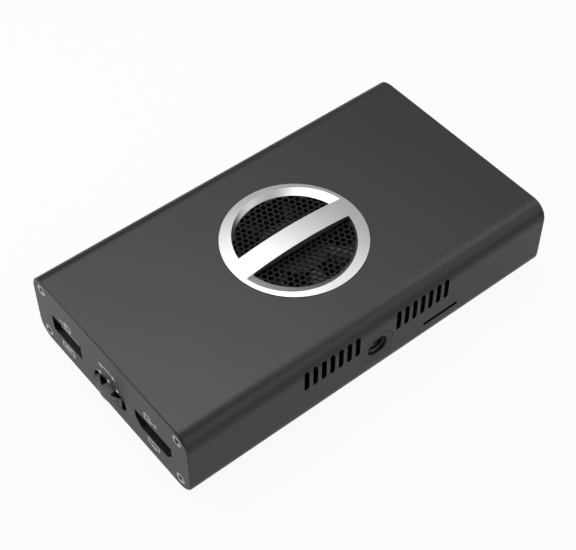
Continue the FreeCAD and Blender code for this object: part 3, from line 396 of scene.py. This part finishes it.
def simple_finishes():
    """Materials of the smaller pieces: what each is made of, and how its surface was made."""
    s = bpy.context.scene.decoder_finish
    return {
        # Steel, punched and powder coated matt black: a soft orange peel kills its highlights
        "coated_steel": grained("steel_powder_coated", srgb(0x0E0E0E), srgb(0x161616), 0.65,
                                grain=0.35 * MM, relief=0.01 * MM, Specular_IOR_Level=0.2),
        # Steel, nickel plated: bright, with a faint cloudiness
        "nickel": grained("steel_nickel_plated", srgb(0x9E9E9C), srgb(0xB2B2B0), 0.3, 1.0,
                          grain=0.15 * MM, relief=0.002 * MM, patch=1.5 * MM),
        # Steel, blackened: nearly as dark as the housing, with a slightly oily gloss
        "blackened": grained("steel_blackened", srgb(0x3E3E3E), srgb(0x464646), 0.48, 1.0,
                             grain=0.2 * MM, relief=0.003 * MM, patch=3 * MM),
        # Steel sheet, tin plated: grey metal with a cloudy bloom
        "tinned": grained("steel_sheet_tin_plated", srgb(0x6E6F71), srgb(0x8B8C8E), 0.32, 1.0,
                          grain=0.2 * MM, relief=0.002 * MM, patch=2.5 * MM),
        # Bronze, gold plated: warm and smooth
        "gold": grained("bronze_gold_plated", srgb(0xD9A94E), srgb(0xE8BE6A), 0.22, 1.0,
                        grain=0.1 * MM, relief=0.001 * MM, patch=1 * MM),
        # Nylon, moulded black: fine spark-eroded texture
        "nylon": grained("nylon_moulded_black", srgb(0x101010), srgb(0x171717), 0.5,
                         grain=0.12 * MM, relief=0.006 * MM, patch=2 * MM),
        # Acrylic, moulded milky: lets the lamp's light spread inside
        "acrylic": grained("acrylic_moulded_milky", srgb(0xF2F2F0), srgb(0xFFFFFF), 0.25,
                           grain=0.4 * MM, relief=0.001 * MM, Subsurface_Weight=0.3,
                           Subsurface_Radius=(1, 1, 1), Subsurface_Scale=0.5 * MM),
        # ABS, moulded grey: satin with a fine tooth and a slight drift in its grey
        "abs": grained("abs_moulded_grey", shade(s.lever, 0.94), shade(s.lever, 1.06), 0.45,
                       grain=0.14 * MM, relief=0.006 * MM, patch=1.2 * MM),
        # Acetal, moulded black: smooth and waxy
        "acetal": grained("acetal_moulded_black", srgb(0x141415), srgb(0x1C1C1D), 0.35,
                          grain=0.3 * MM, relief=0.002 * MM, patch=2 * MM),
        # Glass-filled polyester, moulded black: satin with faint flow marks
        "polyester": grained("polyester_moulded_black", srgb(0x1B1B1B), srgb(0x272727), 0.35,
                             grain=0.2 * MM, relief=0.005 * MM, patch=4 * MM),
        # Steel, ground: bright and even
        "ground_steel": grained("steel_ground", srgb(0xA8A9AB), srgb(0xC0C1C3), 0.2, 1.0,
                                grain=0.08 * MM, relief=0.001 * MM, patch=1 * MM),
        # Bronze, sintered: porous and oily
        "sintered": grained("bronze_sintered", srgb(0x8A6A3C), srgb(0x9C7B4A), 0.45, 1.0,
                            grain=0.1 * MM, relief=0.01 * MM, patch=0.8 * MM),
        # Ferrite in rubber, pressed: dull charcoal
        "ferrite": grained("ferrite_rubber_pressed", srgb(0x2B2A2A), srgb(0x363434), 0.7,
                           grain=0.15 * MM, relief=0.01 * MM, patch=2 * MM),
        # Polyurethane foam with open cells: dull, soft and pitted
        "foam": grained("polyurethane_foam", srgb(0x1E1E1E), srgb(0x2C2C2C), 0.9,
                        grain=0.35 * MM, relief=0.15 * MM, patch=1 * MM),
        # Epoxy, moulded: chip bodies with a fine matt tooth
        "epoxy": grained("epoxy_moulded_black", srgb(0x1A1A1B), srgb(0x222223), 0.55,
                         grain=0.1 * MM, relief=0.004 * MM, patch=3 * MM),
        # Silicone, cast grey-blue: soft and slightly tacky
        "silicone": grained("silicone_pad_cast", srgb(0x7C8590), srgb(0x8A939E), 0.6,
                            grain=0.5 * MM, relief=0.01 * MM, patch=3 * MM),
        # Aluminium, drawn into cans: bright with a fine grain
        "drawn_can": grained("aluminium_drawn_can", srgb(0xA6A7A9), srgb(0xBFC0C2), 0.28, 1.0,
                             grain=0.12 * MM, relief=0.002 * MM, patch=1.5 * MM),
        # Ceramic, fired: small capacitors, tan and slightly glossy
        "ceramic": grained("ceramic_fired", srgb(0x8A7458), srgb(0x9A8466), 0.4,
                           grain=0.1 * MM, relief=0.003 * MM, patch=1 * MM),
        # Nylon, moulded in its natural white: slightly warm and satin
        "white_nylon": grained("nylon_moulded_natural", srgb(0xD9D6CA), srgb(0xE6E3D8), 0.45,
                               grain=0.2 * MM, relief=0.004 * MM, patch=2 * MM),
        # Printing ink, screen printed: flat and slightly chalky
        "ink": grained("ink_screen_printed", shade(s.ink, 0.93), s.ink, 0.55,
                       grain=0.1 * MM, relief=0.004 * MM, patch=0.5 * MM),
    }


# Materials by their short names, filled by main
FINISHES = {}


def paint(**finishes):
    """Give nodes of the frame their materials: each keyword is a node, its value a finish."""
    for name, key in finishes.items():
        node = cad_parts[name]
        node.data.materials.clear()
        node.data.materials.append(FINISHES[key])


# Meshes


def finish_mesh(name, bm, material):
    """Mesh with one material, from a bmesh that it frees."""
    mesh = bpy.data.meshes.new(name)
    bm.to_mesh(mesh)
    bm.free()
    mesh.materials.append(material)
    return mesh


def new_object(name, data):
    """Object in the scene that shows a mesh, a lamp or a camera."""
    thing = bpy.data.objects.new(name, data)
    bpy.context.scene.collection.objects.link(thing)
    return thing


def new_piece(name, bm, material):
    """Object from a closed bmesh, on the housing."""
    bmesh.ops.recalc_face_normals(bm, faces=bm.faces)
    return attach(new_object(name, finish_mesh(name, bm, material)), "housing")


def lathe(rings, around=AROUND):
    """Closed mesh round local Z. A ring is (radius, height), and its radius may be a function
    of the angle. The first and last rings close to a point on the axis."""
    bm = bmesh.new()
    loops = []
    for radius, height in rings[1:-1]:
        loop = []
        for i in range(around):
            a = 2 * math.pi * i / around
            r = radius(a) if callable(radius) else radius
            loop.append(bm.verts.new((r * math.cos(a), r * math.sin(a), height)))
        loops.append(loop)
    ends = [bm.verts.new((0, 0, rings[0][1])), bm.verts.new((0, 0, rings[-1][1]))]
    for low, high in zip(loops, loops[1:]):
        for i in range(around):
            j = (i + 1) % around
            bm.faces.new((low[i], low[j], high[j], high[i]))
    for end, loop in zip(ends, (loops[0], loops[-1])):
        for i in range(around):
            bm.faces.new((end, loop[i], loop[(i + 1) % around]))
    return bm


def smooth_sides(mesh, angle=math.radians(35)):
    """Smooth a mesh but keep edges sharper than the angle."""
    for polygon in mesh.polygons:
        polygon.use_smooth = True
    mesh.set_sharp_from_angle(angle=angle)


def thread_rings(crest, root, pitch, start, end, steps=8):
    """Rings of a helical thread between two heights."""
    count = max(2, int(abs(end - start) / pitch * steps))
    rings = []
    for k in range(count + 1):
        height = start + (end - start) * k / count
        fade = min(1.0, k / steps, (count - k) / steps)

        def radius(a, height=height, fade=fade):
            wave = abs(((height / pitch - a / (2 * math.pi)) % 1) * 2 - 1)
            return root + (crest - root) * wave * fade

        rings.append((radius, height))
    return rings


def hexagon(width):
    """Radius of a hexagon by its angle."""
    def radius(a):
        return width / 2 / math.cos((a % (math.pi / 3)) - math.pi / 6)
    return radius


def stroke(bm, points, width, height, closed):
    """Flat ribbon along points (u, v), with mitred corners that reach out at most as far as the
    ribbon is wide."""
    pts = [Vector(p) for p in points]
    count = len(pts)
    sides = []
    for i, p in enumerate(pts):
        before = pts[i - 1] if i or closed else None
        after = pts[(i + 1) % count] if i < count - 1 or closed else None
        a = (p - before).normalized() if before is not None else (after - p).normalized()
        b = (after - p).normalized() if after is not None else a
        tangent = (a + b).normalized()
        normal = Vector((-tangent.y, tangent.x))
        reach = width / 2 / max(0.5, normal.dot(Vector((-a.y, a.x))))
        sides.append((p + normal * reach, p - normal * reach))
    loops = [[bm.verts.new((q.x, q.y, z)) for q, z in ((left, 0), (right, 0), (right, height),
                                                       (left, height))]
             for left, right in sides]
    for i in range(count if closed else count - 1):
        near, far = loops[i], loops[(i + 1) % count]
        for k in range(4):
            m = (k + 1) % 4
            bm.faces.new((near[k], near[m], far[m], far[k]))
    if not closed:
        bm.faces.new(loops[0])
        bm.faces.new(loops[-1])


def arc_points(centre, radius, start, end, count):
    """Points (u, v) along an arc between two angles in degrees."""
    angles = [math.radians(start + (end - start) * i / count) for i in range(count + 1)]
    return [(centre[0] + radius * math.cos(a), centre[1] + radius * math.sin(a)) for a in angles]


# Operators


class DECODER_OT_housing(bpy.types.Operator):
    """Finish the sleeve and the end panels as blasted and anodised aluminium"""
    bl_idname = "decoder.housing"
    bl_label = "Finish housing"

    def execute(self, context):
        paint(housing_sleeve="anodised", front_panel="anodised", rear_panel="anodised")
        return {"FINISHED"}


class DECODER_OT_grille(bpy.types.Operator):
    """Finish the trim ring and the honeycomb disc"""
    bl_idname = "decoder.grille"
    bl_label = "Finish grille"

    def execute(self, context):
        paint(trim_ring="trim", grille_mesh="coated_steel")
        return {"FINISHED"}


class DECODER_OT_fan(bpy.types.Operator):
    """Finish the fan, its lead and the heat sink below it"""
    bl_idname = "decoder.fan"
    bl_label = "Finish fan"

    def execute(self, context):
        paint(fan_frame="polyester", fan_rotor="polyester", fan_screws="nickel",
              fan_shaft="ground_steel", fan_magnet="ferrite", fan_bearing="sintered",
              fan_coils="copper", fan_gasket="foam", fan_lead="ribbon", fan_plug="white_nylon",
              fan_header="white_nylon", heat_sink="extruded", sink_pins="nylon")
        return {"FINISHED"}


class DECODER_OT_gasket(bpy.types.Operator):
    """Replace the foam gasket with a frame of foam that bulges where it is squeezed"""
    bl_idname = "decoder.gasket"
    bl_label = "Make gasket"

    def execute(self, context):
        s = context.scene.decoder_gasket
        low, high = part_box("fan_gasket")
        half = (high.x - low.x) / 2
        middle = (low + high) / 2
        inner = half - s.border
        # points round the section and round the frame
        steps, around = 10, 96
        # the section is a squeezed pad, round at both sides and nearly flat above and below: a
        # circle would have both powers at 1
        side, flat = 0.5, 0.35
        bm = bmesh.new()
        loops = []
        for k in range(steps):
            turn = 2 * math.pi * k / steps
            out = math.copysign(abs(math.cos(turn)) ** side, math.cos(turn))
            lift = math.copysign(abs(math.sin(turn)) ** flat, math.sin(turn))
            mix = (1 + out) / 2
            loop = []
            for i in range(around):
                a = 2 * math.pi * i / around
                reach = inner + (self.square(a, half, s.corner) - inner) * mix
                height = middle.z + lift * (high.z - low.z) / 2
                loop.append(bm.verts.new((middle.x + reach * math.cos(a),
                                          middle.y + reach * math.sin(a), height)))
            loops.append(loop)
        for k in range(steps):
            near, far = loops[k], loops[(k + 1) % steps]
            for i in range(around):
                j = (i + 1) % around
                bm.faces.new((near[i], near[j], far[j], far[i]))
        piece = new_piece("fan_gasket_foam", bm, FINISHES["foam"])
        smooth_sides(piece.data)
        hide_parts("fan_gasket")
        return {"FINISHED"}

    def square(self, a, half, corner):
        """Distance from the centre to a square with rounded corners, by angle."""
        x, y = abs(math.cos(a)), abs(math.sin(a))
        side = half / max(x, y)
        flat = half - corner
        if side * min(x, y) <= flat:
            return side
        # the ray meets the corner's arc, whose centre is at (flat, flat)
        along = flat * (x + y)
        return along + math.sqrt(max(0.0, along ** 2 - 2 * flat ** 2 + corner ** 2))


class DECODER_OT_board(bpy.types.Operator):
    """Finish the board and the components on it"""
    bl_idname = "decoder.board"
    bl_label = "Finish board"

    def execute(self, context):
        paint(main_board="board", processor="epoxy", memory_chips="epoxy",
              network_transformer="epoxy", power_coils="ferrite", thermal_pad="silicone",
              power_capacitors="drawn_can", board_crystal="drawn_can", card_socket="tinned",
              light_sources="white_nylon")
        return {"FINISHED"}


class DECODER_OT_parts(bpy.types.Operator):
    """Place small resistors and capacitors on the free places of the board"""
    bl_idname = "decoder.parts"
    bl_label = "Place small parts"

    # Sizes of small parts beside the common one, as often as they are drawn
    SIZES = (0.6, 1.0, 1.0, 1.6)
    # Width and height of a small part beside its length
    WIDTH, HEIGHT = 0.5, 0.4
    # A part's body and metal ends, each span from and to in lengths, and its share of the girth
    BODY = ((-0.32, 0.32, 0.97),)
    ENDS = ((-0.5, -0.3, 1.0), (0.3, 0.5, 1.0))
    # Most places that are tried
    TRIES = 4000

    def execute(self, context):
        s = context.scene.decoder_parts
        low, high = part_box("main_board")
        kept = self.taken(low, high)
        rng = random.Random(s.seed)
        bodies, ends = bmesh.new(), bmesh.new()
        placed = 0
        for _ in range(self.TRIES):
            if placed >= s.count:
                break
            length = s.length * rng.choice(self.SIZES)
            width, height = length * self.WIDTH, length * self.HEIGHT
            turned = rng.random() < 0.5
            dx, dy = (width, length) if turned else (length, width)
            x = round(rng.uniform(low.x + dx, high.x - dx) / s.grid) * s.grid
            y = round(rng.uniform(low.y + s.margin, high.y - s.margin) / s.grid) * s.grid
            if any(a - dx < x < b + dx and c - dy < y < d + dy for a, b, c, d in kept):
                continue
            kept.append((x - dx / 2, x + dx / 2, y - dy / 2, y + dy / 2))
            placed += 1
            place = Matrix.Translation((x, y, high.z + height / 2))
            spin = Matrix.Rotation(math.pi / 2 * turned, 4, "Z")
            size = (length, width, height)
            self.add_blocks(bodies, self.BODY, place @ spin, size)
            self.add_blocks(ends, self.ENDS, place @ spin, size)
        if placed < s.count / 2:
            raise RuntimeError("too few free places on the board")
        new_piece("small_part_bodies", bodies, FINISHES["ceramic"])
        new_piece("small_part_ends", ends, FINISHES["tinned"])
        return {"FINISHED"}

    def taken(self, low, high, headroom=2 * MM):
        """Boxes (x, x, y, y) of the nodes on the board or close above it, apart from those that
        cover half of it or more, such as the sleeve round it."""
        kept = []
        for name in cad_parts:
            a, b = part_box(name)
            if name != "main_board" and a.z < high.z + headroom and b.z > high.z:
                if (b.x - a.x) * (b.y - a.y) < (high.x - low.x) * (high.y - low.y) / 2:
                    kept.append((a.x, b.x, a.y, b.y))
        return kept

    def add_blocks(self, bm, spans, place, size, edge=0.04 * MM):
        """Blocks with broken edges at their spans along a part's length."""
        length, width, height = size
        for start, stop, girth in spans:
            middle = Matrix.Translation(((start + stop) / 2 * length, 0, 0))
            block = Matrix.Diagonal((length * (stop - start), width * girth, height * girth, 1))
            made = bmesh.ops.create_cube(bm, size=1, matrix=place @ middle @ block)
            edges = dict.fromkeys(e for v in made["verts"] for e in v.link_edges)
            bmesh.ops.bevel(bm, geom=list(edges), offset=edge, segments=1, affect="EDGES")


class DECODER_OT_sockets(bpy.types.Operator):
    """Finish the sockets' shells, tongues and contacts"""
    bl_idname = "decoder.sockets"
    bl_label = "Finish sockets"

    def execute(self, context):
        paint(host_socket_shell="blackened", host_socket_tongue="nylon",
              host_socket_contacts="gold", video_socket_shell="blackened",
              video_socket_tongue="nylon", network_socket_body="tinned",
              network_socket_lights="acrylic", network_socket_contacts="gold",
              power_socket_shell="tinned", power_socket_tongue="nylon", light_pipes="acrylic")
        return {"FINISHED"}


class DECODER_OT_lip(bpy.types.Operator):
    """Make the bare lip that carries the host socket's upper wall to the panel's face"""
    bl_idname = "decoder.lip"
    bl_label = "Make lip"

    def execute(self, context):
        s = context.scene.decoder_lip
        low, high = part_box("host_socket_shell")
        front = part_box("front_panel")[0].x + s.setback
        top, bottom, r = high.z, high.z - s.thickness, s.rounding
        steps = 3
        turn = [math.pi / 2 * i / steps for i in range(steps + 1)]
        upper = [(front + r - r * math.sin(a), top - r + r * math.cos(a)) for a in turn]
        lower = [(front + r - r * math.cos(a), bottom + r - r * math.sin(a)) for a in turn]
        # the lip's back end lies inside the shell's front edge
        root = low.x + s.thickness / 2
        section = upper + lower + [(root, bottom), (root, top)]
        bm = bmesh.new()
        ends = [[bm.verts.new((x, y, z)) for x, z in section]
                for y in (low.y + s.start, low.y + s.start + s.length)]
        for i in range(len(section)):
            j = (i + 1) % len(section)
            bm.faces.new((ends[0][i], ends[0][j], ends[1][j], ends[1][i]))
        for end in ends:
            bm.faces.new(end)
        piece = new_piece("host_socket_lip", bm, FINISHES["ground_steel"])
        smooth_sides(piece.data)
        return {"FINISHED"}


class DECODER_OT_lever(bpy.types.Operator):
    """Finish the lever switch"""
    bl_idname = "decoder.lever"
    bl_label = "Finish lever"

    def execute(self, context):
        paint(switch_lever="abs", switch_carriage="acetal", switch_case="acetal")
        return {"FINISHED"}


class DECODER_OT_screws(bpy.types.Operator):
    """Replace the panel screws with screws that have a hexagonal recess and a thread"""
    bl_idname = "decoder.screws"
    bl_label = "Make screws"

    # Broken edges of the recess and of the head, each as (width, depth)
    MOUTH = (0.07 * MM, 0.08 * MM)
    RIM = (0.1 * MM, 0.06 * MM)
    # Plain lengths below the head and at the point, and the point's end beside the thread's root
    NECK, POINT, BLUNT = 0.1 * MM, 0.4 * MM, 0.8
    # Degrees from one screw's recess to the next one's, because each was stopped at its own turn
    STOP = 37

    def execute(self, context):
        s = context.scene.decoder_screws
        hexed = hexagon(s.recess)
        root = s.shank_radius - s.thread_depth
        rings = [(0, -s.recess_depth), (hexed, -s.recess_depth), (hexed, -self.MOUTH[1]),
                 (lambda a: hexed(a) + self.MOUTH[0], 0),
                 (s.head_radius - self.RIM[0], 0), (s.head_radius, -self.RIM[1]),
                 (s.shank_radius, -s.head_depth)]
        rings += thread_rings(s.shank_radius, root, s.pitch, -s.head_depth - self.NECK,
                              -s.length + self.POINT)
        rings += [(root * self.BLUNT, -s.length), (0, -s.length)]
        bm = lathe(rings)
        bmesh.ops.recalc_face_normals(bm, faces=bm.faces)
        mesh = finish_mesh("panel_screw", bm, FINISHES["nickel"])
        smooth_sides(mesh)
        number = 0
        for node in ("front_panel_screws", "rear_panel_screws"):
            low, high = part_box(node)
            side = -1 if low.x < 0 else 1
            face = low.x if side < 0 else high.x
            for y in (low.y + s.head_radius, high.y - s.head_radius):
                for z in (low.z + s.head_radius, high.z - s.head_radius):
                    number += 1
                    piece = new_object(f"panel_screw_{number}", mesh)
                    turn = Matrix.Rotation(side * math.pi / 2, 4, "Y")
                    spin = Matrix.Rotation(math.radians(self.STOP * number), 4, "Z")
                    piece.matrix_world = Matrix.Translation((face, y, z)) @ turn @ spin
                    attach(piece, "housing")
                    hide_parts(node)
        return {"FINISHED"}


class DECODER_OT_bush(bpy.types.Operator):
    """Replace the tripod bush with one that has its thread cut"""
    bl_idname = "decoder.bush"
    bl_label = "Make bush"

    # Broken outer edge, depth of the countersink that leads the screw in, and the thread's runout
    EDGE, LEAD_IN, RUNOUT = 0.12 * MM, 0.3 * MM, 0.1 * MM

    def execute(self, context):
        s = context.scene.decoder_bush
        low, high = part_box("tripod_bush")
        outer = (high.x - low.x) / 2
        length = high.y - low.y
        bore = s.thread_radius - s.thread_height
        rings = [(0, -length), (outer, -length), (outer, -self.EDGE), (outer - self.EDGE, 0),
                 (s.thread_radius + self.RUNOUT, 0), (s.thread_radius - self.EDGE, -self.LEAD_IN)]
        rings += thread_rings(bore, s.thread_radius, s.pitch, -self.LEAD_IN - self.RUNOUT / 2,
                              -s.depth + self.RUNOUT)
        rings += [(bore, -s.depth), (0, -s.depth)]
        bm = lathe(rings, around=48)
        piece = new_piece("tripod_bush_threaded", bm, FINISHES["blackened"])
        smooth_sides(piece.data)
        middle = (low + high) / 2
        piece.data.transform(Matrix.Translation((middle.x, low.y, middle.z))
                             @ Matrix.Rotation(math.pi / 2, 4, "X"))
        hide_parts("tripod_bush")
        return {"FINISHED"}


class DECODER_OT_marks(bpy.types.Operator):
    """Print plain marks beside the sockets, and an arrow over the lever"""
    bl_idname = "decoder.marks"
    bl_label = "Print marks"

    # Each mark's centre on the panel in millimetres, then its lines from there, as (closed, points)
    MARKS = {
        "mark_in": ((-19.2, 15.2), [
            (False, [(-0.2, 1.0), (2.5, 1.0), (2.5, -1.0), (-0.2, -1.0)]),
            (False, [(-2.5, 0), (0.9, 0)]),
            (False, [(0.1, 0.6), (0.9, 0), (0.1, -0.6)])]),
        "mark_socket": ((-19.4, 5.1), [
            (True, [(-2.6, 1.0), (2.6, 1.0), (2.6, -1.0), (-2.6, -1.0)]),
            (False, [(-1.6, 0.1), (1.6, 0.1)])]),
        "mark_out": ((18.1, 15.1), [
            (False, [(0.2, 1.0), (-2.5, 1.0), (-2.5, -1.0), (0.2, -1.0)]),
            (False, [(-0.9, 0), (2.5, 0)]),
            (False, [(1.7, 0.6), (2.5, 0), (1.7, -0.6)])]),
        "mark_screen": ((18.3, 5.1), [
            (True, [(-2.2, 1.1), (2.2, 1.1), (2.2, -0.6), (-2.2, -0.6)]),
            (False, [(-1.2, -1.15), (1.2, -1.15)])]),
    }

    def execute(self, context):
        s = context.scene.decoder_marks
        face_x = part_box("front_panel")[0].x
        # the curved double arrow over the lever: its line, then a head at either end of it
        bend = arc_points((0, -6.4), radius=9.0, start=68, end=112, count=12)
        arrow = [(False, bend)]
        for (u, v), inward in ((bend[0], -1), (bend[-1], 1)):
            arrow.append((False, [(u + 0.65 * inward, v + 1.0), (u, v),
                                  (u + 1.3 * inward, v - 0.25)]))
        marks = dict(self.MARKS, mark_rock=((-0.35, 13.4), arrow))
        for name, (centre, lines) in marks.items():
            bm = bmesh.new()
            for closed, points in lines:
                stroke(bm, points, s.stroke / MM, s.thickness / MM, closed)
            # (u, v, out) in millimetres to the panel's face, which looks along -X
            onto = Matrix(((0, 0, -MM, face_x), (-MM, 0, 0, -centre[0] * MM),
                           (0, MM, 0, centre[1] * MM), (0, 0, 0, 1)))
            bmesh.ops.transform(bm, matrix=onto, verts=bm.verts)
            piece = new_piece(name, bm, FINISHES["ink"])
        return {"FINISHED"}


class DECODER_OT_stage(bpy.types.Operator):
    """Set up the pale floor, the soft studio light and the camera"""
    bl_idname = "decoder.stage"
    bl_label = "Set stage"

    def execute(self, context):
        s = context.scene.decoder_stage
        context.scene.view_settings.view_transform = "Standard"
        self.make_world(context, s)
        self.make_floor(s)
        for name, (place, width, power) in LAMPS.items():
            self.make_lamp(name, place, width, power * s.lamps)
        camera = new_object("camera", bpy.data.cameras.new("camera"))
        camera.data.lens = s.lens
        camera.data.sensor_width = s.sensor
        camera.data.clip_start = 10 * MM
        turn = Matrix((CAMERA_RIGHT, CAMERA_BACK.cross(CAMERA_RIGHT), CAMERA_BACK)).transposed()
        camera.matrix_world = Matrix.Translation(s.camera_place) @ turn.to_4x4()
        context.scene.camera = camera
        return {"FINISHED"}

    def make_lamp(self, name, place, width, power):
        lamp = bpy.data.lights.new(name, "AREA")
        lamp.size = width
        lamp.energy = power
        holder = new_object(name, lamp)
        holder.visible_camera = False
        holder.location = place
        holder.rotation_mode = "QUATERNION"
        holder.rotation_quaternion = (-Vector(place)).to_track_quat("-Z", "Y")

    def seen(self, tree, mirrored):
        """Share of a ray that sees the plain white background: all of it from the camera and
        through clear pieces, and the mirrored share in gloss."""
        path = add_node(tree, "ShaderNodeLightPath")
        part = add_node(tree, "ShaderNodeMath", {0: path.outputs["Is Glossy Ray"], 1: mirrored},
                        operation="MULTIPLY")
        clear = add_node(tree, "ShaderNodeMath", {0: path.outputs["Is Camera Ray"],
                                                  1: path.outputs["Is Transmission Ray"]},
                         operation="MAXIMUM")
        return add_node(tree, "ShaderNodeMath", {0: clear.outputs[0], 1: part.outputs[0]},
                        operation="MAXIMUM").outputs[0]

    def make_world(self, context, s):
        world = bpy.data.worlds.new("surround")
        context.scene.world = world
        world.use_nodes = True
        tree = world.node_tree
        background = tree.nodes["Background"]
        # the surround pales from just below the horizon to straight overhead
        horizon, darkest = -0.2, 0.4
        place = add_node(tree, "ShaderNodeTexCoord").outputs["Generated"]
        split = add_node(tree, "ShaderNodeSeparateXYZ", {0: place})
        level = add_node(tree, "ShaderNodeMapRange",
                         {0: split.outputs[2], 1: horizon, 2: 1.0, 3: darkest * s.surround,
                          4: s.surround})
        mix = add_node(tree, "ShaderNodeMix", {0: self.seen(tree, 0.0), 6: level.outputs[0],
                                               7: (1, 1, 1, 1)}, data_type="RGBA")
        tree.links.new(mix.outputs[2], background.inputs["Color"])

    def make_floor(self, s):
        # a hair below the underside, so that the two flat faces don't fight, and wide enough to
        # fill every view
        hair, width = 0.02 * MM, 3.0
        bm = bmesh.new()
        bmesh.ops.create_grid(bm, x_segments=8, y_segments=8, size=width,
                              matrix=Matrix.Translation((0, 0, -hair)))
        # Paper, matt white: dull and even, so that it shows only the object's soft shadow
        material, tree, shader = start_material("paper_matt_white", 0.9)
        shader.inputs["Base Color"].default_value = (*srgb(0xC8C8C8), 1)
        glow = add_node(tree, "ShaderNodeEmission", {"Color": (1, 1, 1, 1), "Strength": 1.0})
        share = add_node(tree, "ShaderNodeMath", {0: self.seen(tree, s.mirrored), 1: s.white},
                         operation="MULTIPLY")
        blend = add_node(tree, "ShaderNodeMixShader", {0: share.outputs[0],
                                                       1: shader.outputs[0], 2: glow.outputs[0]})
        # clear from its back, so that the underside shows in views from below
        back = add_node(tree, "ShaderNodeNewGeometry").outputs["Backfacing"]
        clear = add_node(tree, "ShaderNodeBsdfTransparent")
        sided = add_node(tree, "ShaderNodeMixShader", {0: back, 1: blend.outputs[0],
                                                       2: clear.outputs[0]})
        out = tree.nodes["Material Output"]
        tree.links.new(sided.outputs[0], out.inputs["Surface"])
        new_object("floor", finish_mesh("floor", bm, material))


OPERATORS = (
    DECODER_OT_housing, DECODER_OT_grille, DECODER_OT_fan, DECODER_OT_gasket,
    DECODER_OT_board, DECODER_OT_parts, DECODER_OT_sockets, DECODER_OT_lip, DECODER_OT_lever,
    DECODER_OT_screws, DECODER_OT_bush, DECODER_OT_marks, DECODER_OT_stage,
)


class DECODER_PT_panel(bpy.types.Panel):
    """Settings of the decoder's looks"""
    bl_idname = "DECODER_PT_panel"
    bl_label = "Decoder"
    bl_space_type = "VIEW_3D"
    bl_region_type = "UI"
    bl_category = "Decoder"

    def draw(self, context):
        layout = self.layout
        for name, kind in SETTINGS.items():
            box = layout.box()
            group = getattr(context.scene, name)
            for key in kind.__annotations__:
                box.prop(group, key)
        for operator in OPERATORS:
            layout.operator(operator.bl_idname)


CLASSES = (*SETTINGS.values(), *OPERATORS, DECODER_PT_panel)


def register():
    for cls in CLASSES:
        bpy.utils.register_class(cls)
    for name, kind in SETTINGS.items():
        setattr(bpy.types.Scene, name, bpy.props.PointerProperty(type=kind))


def unregister():
    for name in SETTINGS:
        delattr(bpy.types.Scene, name)
    for cls in reversed(CLASSES):
        bpy.utils.unregister_class(cls)


def main():
    register()
    FINISHES.update(simple_finishes())
    FINISHES.update(anodised=anodised_aluminium(), trim=clear_aluminium(),
                    copper=wound_copper(), board=masked_board(), extruded=extruded_aluminium(),
                    ribbon=ribbon_vinyl())
    for operator in OPERATORS:
        group, name = operator.bl_idname.split(".")
        getattr(getattr(bpy.ops, group), name)()


if __name__ == "__main__":
    main()
